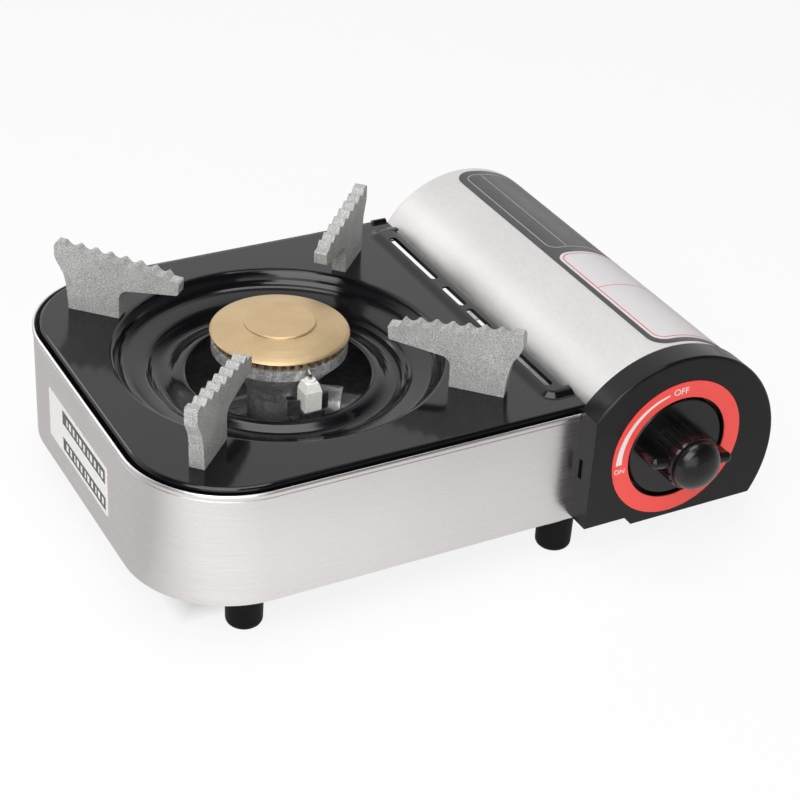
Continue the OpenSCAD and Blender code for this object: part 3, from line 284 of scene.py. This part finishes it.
wall_steel = brushed("brushed wall steel", (0.035, 0.035, 5.0), (0.05, 0.05, 3.0),
                     (0.90, 0.872, 0.862), 0.25, 0.35,
                     Anisotropic=0.7, Anisotropic_Rotation=0.25)
lid_steel = brushed("brushed lid steel", (4.0, 0.25, 4.0), (2.2, 0.05, 2.2),
                    (0.86, 0.84, 0.825), 0.38, 0.54)
print("brushed steel", wall_steel.name, lid_steel.name)

# %% [markdown]
# ## Black enamel
#
# The top is a pressing with a fired glass coat. Its black comes almost wholly from what
# it mirrors, so the colour is near zero and the gloss matters. Enamel is never quite
# flat: a ripple of a hundredth of a millimetre bends its reflections, and a slow change
# in roughness stands for the dust and grease that dull it in patches.

# %% Enamel
def enamel_gloss(net):
    return between(net, noise(net, 25.0, (1, 1, 1), 3.0), 0.3, 0.75, 0.10, 0.18)


def enamel_ripple(net):
    wave = noise(net, 14.0, (1, 1, 1), 1.0)
    peel = noise(net, 1.1, (1, 1, 1), 1.0)
    return bumps(net, wave * 0.9 + peel * 0.1, 0.012)


enamel = finish("black enamel", Base_Color=(0.0035, 0.0034, 0.0046), Roughness=enamel_gloss,
                Normal=enamel_ripple, Specular_IOR_Level=0.45)
print("enamel", enamel.name)

# %% [markdown]
# ## Castings
#
# The four supports are cast and shot-blasted, which leaves a sandy skin of grains about
# half a millimetre across. Real grains could be displaced, at a great cost in faces, and
# noise at their size gives the same speckle. A ramp with three stops sets how many
# grains are dark, middling and bright.

# %% Shot-blasted casting
def grain_tone(net):
    grain = noise(net, 0.48, (1, 1, 1), 2.0, 0.65)
    broad = noise(net, 9.0)
    share = between(net, grain * 0.85 + broad * 0.15, 0.33, 0.67)
    return net.add("ShaderNodeValToRGB", {"stops": [
        (0.0, (0.22, 0.22, 0.212)), (0.45, (0.44, 0.44, 0.428)), (1.0, (0.72, 0.72, 0.70))]},
        {"Fac": share})


def grain_relief(net):
    grain = noise(net, 0.55, (1, 1, 1), 2.0, 0.65)
    return bumps(net, grain, 0.15)


cast_alloy = finish("shot-blasted casting", Base_Color=grain_tone, Roughness=0.62,
                    Normal=grain_relief, Metallic=0.15)
print("casting", cast_alloy.name)

# %% [markdown]
# The burner's head is die-cast and much smoother, with a mottled, oxidised face and a few bright
# scuffs. Below its rim the skin goes over to dark towards the bottom, by height read from the
# piece's own z.

# %% Die-cast head
DARKEN_LOW, DARKEN_HIGH = 0.040, 0.058  # metres above the table


def cast_tone(net):
    cloud = noise(net, 2.4, (1, 1, 1), 4.0, 0.7)
    grain = noise(net, 0.5, (1, 1, 1), 2.0, 0.7)
    scuff = between(net, noise(net, 1.2, (1, 1, 1), 3.0, 0.7), 0.60, 0.66)
    skin = net.mix(between(net, cloud * 0.55 + grain * 0.45, 0.38, 0.62),
                   (0.30, 0.30, 0.305), (0.88, 0.88, 0.89))
    bare = net.mix(scuff, skin, (0.97, 0.97, 0.97))
    # the skin is dark low on the head and bare higher up
    upper_share = between(net, own_place(net)[2], DARKEN_LOW, DARKEN_HIGH)
    return net.mix(upper_share, (0.10, 0.10, 0.10), bare)


def cast_polish(net):
    return between(net, noise(net, 4.0, (1, 1, 1), 4.0), 0.35, 0.65, 0.3, 0.52)


die_cast = finish("die-cast alloy", Base_Color=cast_tone, Roughness=cast_polish, Metallic=0.5,
                  Normal=lambda net: bumps(net, noise(net, 1.4, (1, 1, 1), 3.0), 0.08))
print("die casting", die_cast.name)

# %% [markdown]
# ## Brass
#
# The burner cap is turned brass, blasted dull and browned a little by heat. A mirror
# finish would show the room, so it is rough, with a fine grain in colour and relief.

# %% Satin brass
def brass_tone(net):
    grain = noise(net, 0.35, (1, 1, 1), 2.0)
    cloud = noise(net, 14.0, (1, 1, 1), 2.0)
    share = between(net, grain * 0.6 + cloud * 0.4, 0.36, 0.64)
    return net.mix(share, (0.58, 0.43, 0.245), (0.72, 0.54, 0.32))


brass = finish("satin brass", Base_Color=brass_tone, Metallic=1.0, Roughness=0.46,
               Normal=lambda net: bumps(net, noise(net, 0.4, (1, 1, 1), 2.0), 0.05))
print("brass", brass.name)

# %% [markdown]
# ## Plain sheet, screws and ceramic
#
# The hidden sheets are zinc-coated, and zinc freezes in flat spangles. Voronoi cells, each with
# a random grey, are just that. The dark steel is the coat of the pieces whose slot names it. On
# the mixing tube it is painted shade for the dim inside of the box, and so is the darker grey
# sheet on the floor pan. The igniter's body is fired ceramic with faint stains.

# %% Small metals and the igniter's body
def zinc_tone(net):
    spangle = net.add("ShaderNodeTexVoronoi", None,
                      {"Vector": place(net), "Scale": 1 / (3 * MM)}, out=1)
    patch = net.add("ShaderNodeSeparateColor", None, {"Color": spangle})
    return net.mix(between(net, patch, 0, 1), (0.46, 0.47, 0.48), (0.62, 0.63, 0.64))


plain_steel = finish("zinc-coated sheet", Base_Color=zinc_tone, Metallic=1.0,
                     Roughness=lambda net: between(net, noise(net, 6.0), 0.3, 0.7, 0.28, 0.45))
screw_steel = finish("bright screw steel", Metallic=1.0, Roughness=0.3,
                     Base_Color=lambda net: net.mix(between(net, noise(net, 1.0), 0.35, 0.65),
                                                    (0.42, 0.42, 0.42), (0.66, 0.66, 0.66)))
# dark steel: a real coat on the pieces of its own slot, and painted shade on the mixing tube
dark_steel = finish("dark coated steel", Metallic=0.5, Roughness=0.4,
                    Base_Color=lambda net: net.mix(between(net, noise(net, 3.0), 0.3, 0.7),
                                                   (0.05, 0.05, 0.055), (0.10, 0.10, 0.11)))
# painted shade: the floor pan's sheet is a darker grey for the dim inside of the box
pan_painted_shade = finish("grey-coated sheet", Metallic=0.3, Roughness=0.45,
                  Base_Color=lambda net: net.mix(between(net, noise(net, 3.0), 0.3, 0.7),
                                                 (0.20, 0.20, 0.20), (0.30, 0.30, 0.30)))
ceramic = finish("white ceramic", Roughness=0.42,
                 Base_Color=lambda net: net.mix(between(net, noise(net, 1.2), 0.4, 0.75),
                                                (0.93, 0.93, 0.88), (0.84, 0.83, 0.77)),
                 Normal=lambda net: bumps(net, noise(net, 0.8), 0.03))
print("small finishes", plain_steel.name, screw_steel.name, dark_steel.name,
      pan_painted_shade.name, ceramic.name)

# %% [markdown]
# ## Black mouldings
#
# Three blacks stand side by side and must not look alike: the panel is satin with a
# fine spark-eroded grain, the knob is polished, and the feet are dull rubber. One
# helper makes them all, so what sets them apart is gloss, grain and reflection only.

# %% Panel, knob, rubber and inner mouldings
def moulded(name, colour, rough, grain_mm, depth_mm, paler=1.5, **more):
    """A moulding or a print: worn patches are paler by a factor, and its skin is grained."""

    def tone(net):
        worn = tuple(paler * v for v in colour)
        return net.mix(between(net, noise(net, 8.0, (1, 1, 1), 3.0), 0.35, 0.8), colour, worn)

    def sheen(net):
        patch = noise(net, 12.0, (1, 1, 1), 2.0)
        return between(net, patch, 0.3, 0.7, rough - 0.03, rough + 0.05)

    def skin(net):
        return bumps(net, noise(net, grain_mm, (1, 1, 1), 2.0), depth_mm)

    return finish(name, Base_Color=tone, Roughness=sheen, Normal=skin, **more)


panel_black = moulded("satin black moulding", (0.006, 0.0058, 0.006), 0.22, 0.35, 0.004,
                      Specular_IOR_Level=0.32)
knob_black = moulded("polished black moulding", (0.004, 0.004, 0.0042), 0.22, 3.0, 0.01,
                     Coat_Weight=0.4, Coat_Roughness=0.2, Specular_IOR_Level=0.3)
rubber = moulded("black rubber", (0.005, 0.005, 0.005), 0.5, 0.8, 0.02, Specular_IOR_Level=0.12)
inner_black = moulded("inner black moulding", (0.03, 0.03, 0.03), 0.45, 0.5, 0.01)
inner_white = moulded("natural white moulding", (0.5, 0.5, 0.47), 0.4, 0.8, 0.01, 1.1)
silicone = moulded("white silicone", (0.5, 0.5, 0.48), 0.5, 1.5, 0.02, 1.1)
ferrite = moulded("sintered ferrite", (0.05, 0.05, 0.052), 0.6, 0.4, 0.03)
dial_red = moulded("printed red", (1.0, 0.088, 0.072), 0.45, 0.5, 0.004, 1.0)
print("mouldings", panel_black.name, knob_black.name, rubber.name)

# %% [markdown]
# ## Dress the frame's pieces
#
# The record already says which finish each piece has, as a slot name. One table from slot to
# material dresses all forty-five pieces. Three pieces share a slot with others but get a finish
# of their own, so they follow it: the lid is brushed along its length, and the mixing tube and
# floor pan are darker, as painted shade for the dim inside of the box.

# %% Give each piece its finish
by_slot = {
    "brushed_stainless": wall_steel, "black_enamel": enamel, "plain_steel": plain_steel,
    "cast_alloy": cast_alloy, "die_cast": die_cast, "brass": brass, "dark_steel": dark_steel,
    "screw_steel": screw_steel, "white_ceramic": ceramic, "ferrite": ferrite,
    "black_rubber": rubber, "white_silicone": silicone, "panel_black": panel_black,
    "knob_black": knob_black, "dial_red": dial_red, "inner_white_plastic": inner_white,
    "inner_black_plastic": inner_black,
}
dressed = {part["node"]: by_slot[part["material_slot"]] for part in frame["record"]["subparts"]}
dressed["cartridge_lid"] = lid_steel
# painted shade: darker finishes for the mixing tube and floor pan inside the box
dressed["mixing_tube"] = dark_steel
dressed["base_pan"] = pan_painted_shade
for name, material in dressed.items():
    mesh = nodes[name].data
    mesh.materials.clear()
    mesh.materials.append(material)
print("dressed", len(dressed))

# %% [markdown]
# ## Thin sheets on curved steel
#
# The lid carries a printed sheet that wraps its cylinder. A rounded outline is walked
# in the unrolled plane, arc length against depth, and each point is then rolled on to
# the cylinder. Straight runs along the cylinder stay straight, so only the runs across
# it need many points.

# %% Roll flat outlines on to the lid
LID_X, LID_Z, LID_R = 224.001, 41.5, 44.8   # the cylinder's axis and radius
ARC_MM = math.radians(1) * LID_R            # arc in a degree


def rolled(angle, y, lift):
    """A point over the lid, at an angle in degrees from level right."""
    a, r = math.radians(angle), LID_R + lift
    return at(LID_X + r * math.cos(a), y, LID_Z + r * math.sin(a))


CORNER_STEP = 15    # degrees between points on a rounded corner
CORNER_POINTS = 7   # points in a quarter turn


def rounded(u0, u1, v0, v1, r, step):
    """Points of a rounded rectangle, closely spaced along u, in one turn."""
    points = []
    for cu, cv, start in ((u1 - r, v0 + r, -90), (u1 - r, v1 - r, 0),
                          (u0 + r, v1 - r, 90), (u0 + r, v0 + r, 180)):
        for k in range(CORNER_POINTS):
            a = math.radians(start + k * CORNER_STEP)
            points.append((cu + r * math.cos(a), cv + r * math.sin(a)))
    dense = []
    for (ua, va), (ub, vb) in zip(points, points[1:] + points[:1]):
        count = max(1, math.ceil(abs(ub - ua) / step))
        dense += [(ua + (ub - ua) * k / count, va + (vb - va) * k / count) for k in range(count)]
    return dense


print("outline points", len(rounded(0, 40, 0, 100, 9, 1.5)))

# %% [markdown]
# Every added piece goes the same last steps: it gets a finish and the body that carries it.
# `shell` does that for a list of points and faces. It also turns all the faces outward, so no
# maker has to mind which way round they go.

# %% From points and faces to a riding piece
def link(name, mesh, material, body):
    """A finished mesh as a piece that rides on a body."""
    piece = bpy.data.objects.new(name, mesh)
    bpy.context.scene.collection.objects.link(piece)
    piece.data.materials.append(material)
    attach(piece, body)


def shell(name, rings, faces, material, body):
    """A mesh from lists of points and faces, with its normals turned outward."""
    mesh = bpy.data.meshes.new(name)
    mesh.from_pydata([tuple(p) for ring in rings for p in ring], [], faces)
    work = bmesh.new()
    work.from_mesh(mesh)
    bmesh.ops.recalc_face_normals(work, faces=work.faces)
    work.to_mesh(mesh)
    work.free()
    link(name, mesh, material, body)


def bar_faces(count):
    """Faces of a closed bar of count stations, with four points at each."""
    faces = []
    for p in range(0, 4 * (count - 1), 4):
        q = p + 4
        faces += [(p, p + 1, q + 1, q), (p + 2, q + 2, q + 3, p + 3),
                  (p, q, q + 2, p + 2), (p + 1, p + 3, q + 3, q + 1)]
    last = 4 * (count - 1)
    return faces + [(0, 2, 3, 1), (last, last + 1, last + 3, last + 2)]


print("faces of a bar with two stations", len(bar_faces(2)))

# %% [markdown]
# A filled sheet is built as strips across the cylinder: at each station along the arc
# the outline says how far the sheet reaches front and rear. Top, underside and rim are
# all made, so the sheet is a closed body with a real thickness, and not a decal.

# %% A filled sheet on the lid
MIDDLE_STATIONS = 40


def lid_sheet(name, angles, ys, corner, low, high, material):
    """A sheet on the lid between two angles and two depths, from one lift to another."""
    a0, a1 = sorted(angles)
    width = (a1 - a0) * ARC_MM
    steps = [corner * (1 - math.cos(math.radians(k * CORNER_STEP)))
             for k in range(CORNER_POINTS)]
    middle = [corner + (width - 2 * corner) * k / MIDDLE_STATIONS
              for k in range(1, MIDDLE_STATIONS)]
    us = steps + middle + [width - s for s in reversed(steps)]
    rings = []
    for u in us:
        edge = min(u, width - u, corner)
        cut = corner - math.sqrt(max(0, corner ** 2 - (corner - edge) ** 2))
        rings.append([rolled(a0 + u / ARC_MM, y, lift) for lift in (high, low)
                      for y in (ys[0] + cut, ys[1] - cut)])
    shell(name, rings, bar_faces(len(us)), material, "lid")


print("stations in a sheet", 2 * CORNER_POINTS + MIDDLE_STATIONS - 1)

# %% [markdown]
# A printed line is a frame with a hole, so strips don't suit it. Its outer and inner
# outlines are walked with the same number of points, and each pair of neighbours
# becomes a face. `resample` gives both outlines that number at even spacing.

# %% A thin frame on the lid
FRAME_POINTS = 160
FRAME_STEP_MM = 1.2


def resample(line, count):
    """The closed line again, with count points at even spacing."""
    line = line + line[:1]
    lengths = [0]
    for a, b in zip(line, line[1:]):
        lengths.append(lengths[-1] + math.dist(a, b))
    result, k = [], 0
    for i in range(count):
        target = lengths[-1] * i / count
        while lengths[k + 1] < target:
            k += 1
        share = (target - lengths[k]) / (lengths[k + 1] - lengths[k])
        result.append(tuple(p + (q - p) * share for p, q in zip(line[k], line[k + 1])))
    return result


def lid_frame(name, angles, ys, corner, width, low, high, material):
    """A thin rounded line on the lid, width millimetres broad."""
    a0, a1 = sorted(angles)
    span = (a1 - a0) * ARC_MM
    outer = rounded(0, span, ys[0], ys[1], corner, FRAME_STEP_MM)
    inner = rounded(width, span - width, ys[0] + width, ys[1] - width,
                    corner - width, FRAME_STEP_MM)
    rings = [[rolled(a0 + u / ARC_MM, v, lift) for u, v in resample(line, FRAME_POINTS)]
             for line in (outer, inner) for lift in (high, low)]
    faces, n = [], FRAME_POINTS
    for i in range(n):
        j = (i + 1) % n
        faces += [(i, j, 2 * n + j, 2 * n + i), (n + i, 3 * n + i, 3 * n + j, n + j),
                  (i, n + i, n + j, j), (2 * n + i, 2 * n + j, 3 * n + j, 3 * n + i)]
    shell(name, rings, faces, material, "lid")


print("faces of a frame", 4 * FRAME_POINTS)

# %% [markdown]
# The sheet is a dark satin film with a pale field near the front, ringed by a thin
# red line, and a thin grey line round its rear field. Two straight rules part the
# fields, which are otherwise bare. Each layer lies a little higher than the one below
# it, so that no two faces share a plane. Angles are degrees from level right, depths
# and lifts are millimetres.

# %% The lid's printed sheet
film_dark = moulded("dark printed film", (0.045, 0.043, 0.047), 0.32, 0.5, 0.003, 1.1)
film_pale = moulded("pale printed film", (0.74, 0.72, 0.725), 0.4, 0.5, 0.003, 1.03)
film_red = moulded("red printed line", (0.75, 0.08, 0.08), 0.4, 0.5, 0.003, 1.05)
film_line = moulded("grey printed line", (0.42, 0.41, 0.42), 0.4, 0.5, 0.003, 1.05)
lid_sheet("lid_film", (98, 30), (8.5, 179), 8, 0.02, 0.12, film_dark)
lid_sheet("lid_film_pale_field", (95, 34), (11.5, 92), 6, 0.1, 0.17, film_pale)
lid_frame("lid_film_red_line", (93.4, 36), (13, 90.5), 4.8, 0.5, 0.15, 0.2, film_red)
lid_frame("lid_film_rear_line", (93.4, 36), (97, 175), 5, 0.45, 0.1, 0.16, film_line)
lid_sheet("lid_film_red_rule", (93, 36.4), (59.3, 59.7), 0.1, 0.15, 0.2, film_red)
lid_sheet("lid_film_rear_rule", (82.4, 81.9), (98, 174), 0.1, 0.1, 0.16, film_line)
film_names = sorted(piece.name for piece in bpy.data.objects if "lid_film" in piece.name)
print("film pieces", film_names)

# %% [markdown]
# ## Plate on the left wall
#
# A small white self-adhesive plate sits on the left side. A picture of it on the wall's
# own material would be simpler, but it would be flat, so it is a slab a tenth of a
# millimetre thick. It has two plain dark bars with plain pale dashes, and no words.

# %% The side plate
UNSPLIT = 200  # a step longer than any side, so straight runs get no extra points
DASH_PITCH, DASH_WIDTHS, DASH_HEIGHT = 4, (2.4, 1.3, 1.9), 3.2


def wall_slab(name, ys, zs, depth, corner, material):
    """A thin rounded slab on the outer face of the left wall."""
    outline = rounded(ys[0], ys[1], zs[0], zs[1], corner, UNSPLIT)
    n = len(outline)
    rings = [[at(-x, y, z) for y, z in outline] for x in depth]
    faces = [tuple(range(n)), tuple(range(2 * n - 1, n - 1, -1))]
    faces += [(i, n + i, n + (i + 1) % n, (i + 1) % n) for i in range(n)]
    shell(name, rings, faces, material, "stove_body")


plate_white = moulded("white plate", (0.95, 0.945, 0.93), 0.45, 0.6, 0.003, 1.0)
plate_bar = moulded("dark plate print", (0.10, 0.10, 0.10), 0.45, 0.6, 0.003, 1.15)
wall_slab("side_plate", (61, 127), (29, 52), (0.01, 0.11), 0.6,
          plate_white)
wall_slab("side_plate_bar_upper", (63, 111), (43.5, 50), (0.1, 0.14), 0.3,
          plate_bar)
wall_slab("side_plate_bar_lower", (63, 111), (31, 37), (0.1, 0.14), 0.3,
          plate_bar)
dashes = [(y, z) for z in (44.8, 32.4) for y in range(65, 109, DASH_PITCH)]
for k, (y, z) in enumerate(dashes):
    width = DASH_WIDTHS[k % len(DASH_WIDTHS)]
    wall_slab("side_plate_dash_%02d" % k, (y, y + width), (z, z + DASH_HEIGHT),
              (0.13, 0.16), 0.1, plate_white)
print("side plate done, dashes", len(dashes))

# %% [markdown]
# ## Marks on the dial
#
# The red ring is printed with the two ends of the knob's travel and a wedge that
# grows from OFF towards ON. The wedge is a thin bar bent round the ring: its inner and
# outer radius part steadily along the turn. The words are text turned into meshes, so
# that they are closed solids like every other piece.

# %% The wedge and the two words
KNOB_X, KNOB_Z, RING_FACE = 218.7, 49.2, -12.0   # the knob's axis and the ring's face
WEDGE_STATIONS = 49
PRINT_MM = 0.05
CAPITAL = 0.7   # a capital's height as a share of the text's size
mark_white = moulded("white print", (0.86, 0.84, 0.83), 0.45, 0.5, 0.002, 1.03)


def on_dial(radius, angle, lift):
    """A point over the ring's face, at an angle in degrees from level right."""
    a = math.radians(angle)
    return at(KNOB_X + radius * math.cos(a), RING_FACE - lift, KNOB_Z + radius * math.sin(a))


def dial_wedge(start, stop):
    """The growing wedge, from one angle to another."""
    rings = []
    for i in range(WEDGE_STATIONS):
        share = i / (WEDGE_STATIONS - 1)
        angle = start + (stop - start) * share
        middle, half = 27.5 + 0.65 * share, 0.35 + 1.0 * share
        rings.append([on_dial(middle + side * half, angle, lift)
                      for lift in (PRINT_MM, 0.0) for side in (-1, 1)])
    shell("dial_wedge", rings, bar_faces(WEDGE_STATIONS), mark_white,
          "stove_body")


def dial_word(word, radius, angle, height):
    """A short word as a thin flat solid on the ring, in capitals of a height."""
    curve = bpy.data.curves.new("dial_" + word, "FONT")
    curve.body, curve.size = word, height * MM / CAPITAL
    curve.align_x, curve.align_y = "CENTER", "CENTER"
    curve.extrude, curve.resolution_u = PRINT_MM / 2 * MM, 6
    source = bpy.data.objects.new("dial_" + word, curve)
    source.matrix_world = (Matrix.Translation(on_dial(radius, angle, PRINT_MM / 2))
                           @ Matrix.Rotation(math.radians(90), 4, "X"))
    bpy.context.scene.collection.objects.link(source)
    bpy.context.view_layer.update()
    solid = source.evaluated_get(bpy.context.evaluated_depsgraph_get())
    mesh = bpy.data.meshes.new_from_object(solid)
    mesh.transform(source.matrix_world)
    mesh.materials.clear()
    bpy.data.objects.remove(source)
    link("dial_word_" + word.lower(), mesh, mark_white, "stove_body")


dial_wedge(105, 183)
dial_word("OFF", 27.2, 93.5, 2.95)
dial_word("ON", 27.8, 190, 2.3)
print("dial marks done")

# %% [markdown]
# ## Table and light
#
# The stove stands on a plain white table. More light would turn the table white, but it
# would bleach the stove too. So to the eye and in reflections the table is nearly all
# even white by itself, and ends nowhere. A share of it is ordinary white card, and that
# share holds the soft shadow. Light Path's outputs tell the cases apart: light that
# bounces off the table on to the stove always comes from the plain card.

# %% Rays that show the backdrop
SEEN, MIRRORED, THROUGH = 0, 3, 6  # Light Path: camera, glossy and transmission rays


def showing(net):
    """1 for rays that show a backdrop: seen, mirrored or through glass."""
    seen, mirrored, through = (net.add("ShaderNodeLightPath", out=i)
                               for i in (SEEN, MIRRORED, THROUGH))
    return seen.math("MAXIMUM", seen.math("MAXIMUM", seen, mirrored), through)


def backdrop(name, glow, share):
    """Matte white card that shows to such rays, by a share, as a glow."""
    material = finish(name, Base_Color=(0.93, 0.93, 0.93), Roughness=0.9,
                      Specular_IOR_Level=0.1)
    net = Net(material.node_tree)
    matte = Wire(net, material.node_tree.nodes["Principled BSDF"].outputs[0])
    light = net.add("ShaderNodeEmission", None, {"Color": glow(net)})
    mixed = net.add("ShaderNodeMixShader", None,
                    {0: showing(net) * share(net), 1: matte, 2: light})
    net.set(material.node_tree.nodes["Material Output"].inputs["Surface"], mixed)
    return material


print("backdrop maker ready")

# %% [markdown]
# Polished steel shows what stands opposite it, and here that is the table. A studio
# sets a bright card low in front of a round corner and dims the rest, and the corner
# shows a bright band between greyer walls. A long white pool on the table does the same
# for mirrored rays. The camera still sees even white.
#
# Right under the burner box hardly any light arrives, and the floor slots look down
# on that part of the table. So the share of even white drops there.

# %% The table
POOL_X, POOL_Y = -0.16, -0.13      # metres, off the front left corner
POOL_LENGTH = 0.3                  # a small share of x makes the pool long in x
BOX_X, BOX_Y = at(98, 105, 0).xy   # the middle of the burner box
TABLE_REACH = 6


def table_glow(net):
    """What the table shows: even white to the camera, and a pool in dimmer white mirrored."""
    x, y, _ = own_place(net)
    across, along = (x - POOL_X) * POOL_LENGTH, y - POOL_Y
    square = across * across + along * along
    reach = square.math("SQRT", square)
    pool = net.mix(between(net, reach, 0.03, 0.10), (1, 1, 1), (0.52, 0.507, 0.507))
    return net.mix(net.add("ShaderNodeLightPath", out=SEEN), pool, (1, 1, 1))


def table_share(net):
    """How much of the table is even white: none under the box, most of it elsewhere."""
    x, y, _ = own_place(net)
    beside = x.math("ABSOLUTE", x - BOX_X)
    behind = y.math("ABSOLUTE", y - BOX_Y)
    return between(net, beside.math("MAXIMUM", beside, behind), 0.062, 0.085, 0.0, 0.86)


table = bpy.data.objects.new("table", bpy.data.meshes.new("table"))
table_corners = [(TABLE_REACH * u, TABLE_REACH * v, 0)
                 for u, v in ((-1, -1), (1, -1), (1, 1), (-1, 1))]
table.data.from_pydata(table_corners, [], [(0, 1, 2, 3)])
bpy.context.scene.collection.objects.link(table)
table.data.materials.append(backdrop("white table", table_glow, table_share))
print("table", 2 * TABLE_REACH, "metres square")

# %% [markdown]
# Soft lamps do what a product studio does: a key light high on the left, a box
# overhead, a weak broad light from the front, and a small one behind that edges the
# lid and the black panel. Area lamps are used because their size sets how soft a shadow
# and how broad a highlight is.

# %% Four lamps
def lamp(name, place_m, aim, size, watts):
    """A rectangular lamp, size in metres, that looks at aim."""
    data = bpy.data.lights.new(name, "AREA")
    data.shape, data.size, data.size_y, data.energy = "RECTANGLE", size[0], size[1], watts
    made = bpy.data.objects.new(name, data)
    made.location = place_m
    made.rotation_mode = "QUATERNION"
    made.rotation_quaternion = (Vector(aim) - Vector(place_m)).to_track_quat("-Z", "Y")
    bpy.context.scene.collection.objects.link(made)


lamp("key", (-0.76, -0.69, 1.23), (0, 0, 0.03), (1.1, 1.1), 16)
lamp("overhead", (0.02, 0.1, 1.45), (0, 0, 0.05), (0.8, 0.7), 6.5)
lamp("front", (-0.64, -1.38, 0.5), (0, 0, 0.05), (1.6, 0.9), 6)
lamp("rim", (-0.59, 1.11, 0.82), (0, 0, 0.08), (0.3, 0.25), 0.7)

# %% [markdown]
# The world fills the shadows evenly, and the camera sees it white. To mirrored rays it
# is white behind the stove, up to where a backdrop would end, and dim overhead and in
# front, as a room round a white backdrop is. Black enamel would look grey in an even
# white room, and it is this dimness that keeps it black.

# %% The world
BACKDROP_Y = 0.2, 0.6          # a direction's y, from room to backdrop
BACKDROP_TOP = 0.74, 0.90      # a direction's z, where the backdrop ends
ROOM_Z = 0.1, 0.6              # a direction's z, from the room's walls to its ceiling
world = bpy.data.worlds.new("studio")
bpy.context.scene.world = world
world.use_nodes = True
sky = Net(world.node_tree)
_, y, z = own_place(sky, GENERATED)
lit = between(sky, y, *BACKDROP_Y) * between(sky, z, *BACKDROP_TOP, 1.0, 0.0)
room = sky.mix(between(sky, z, *ROOM_Z), (0.30, 0.30, 0.31), (0.05, 0.05, 0.055))
mirrored = sky.mix(lit, room, (1, 1, 1))
shown = sky.mix(sky.add("ShaderNodeLightPath", out=SEEN), mirrored, (1, 1, 1))
fill = sky.mix(showing(sky), (0.18, 0.18, 0.18), shown)
sky.set(world.node_tree.nodes["Background"].inputs["Color"], fill)
print("world", world.name)
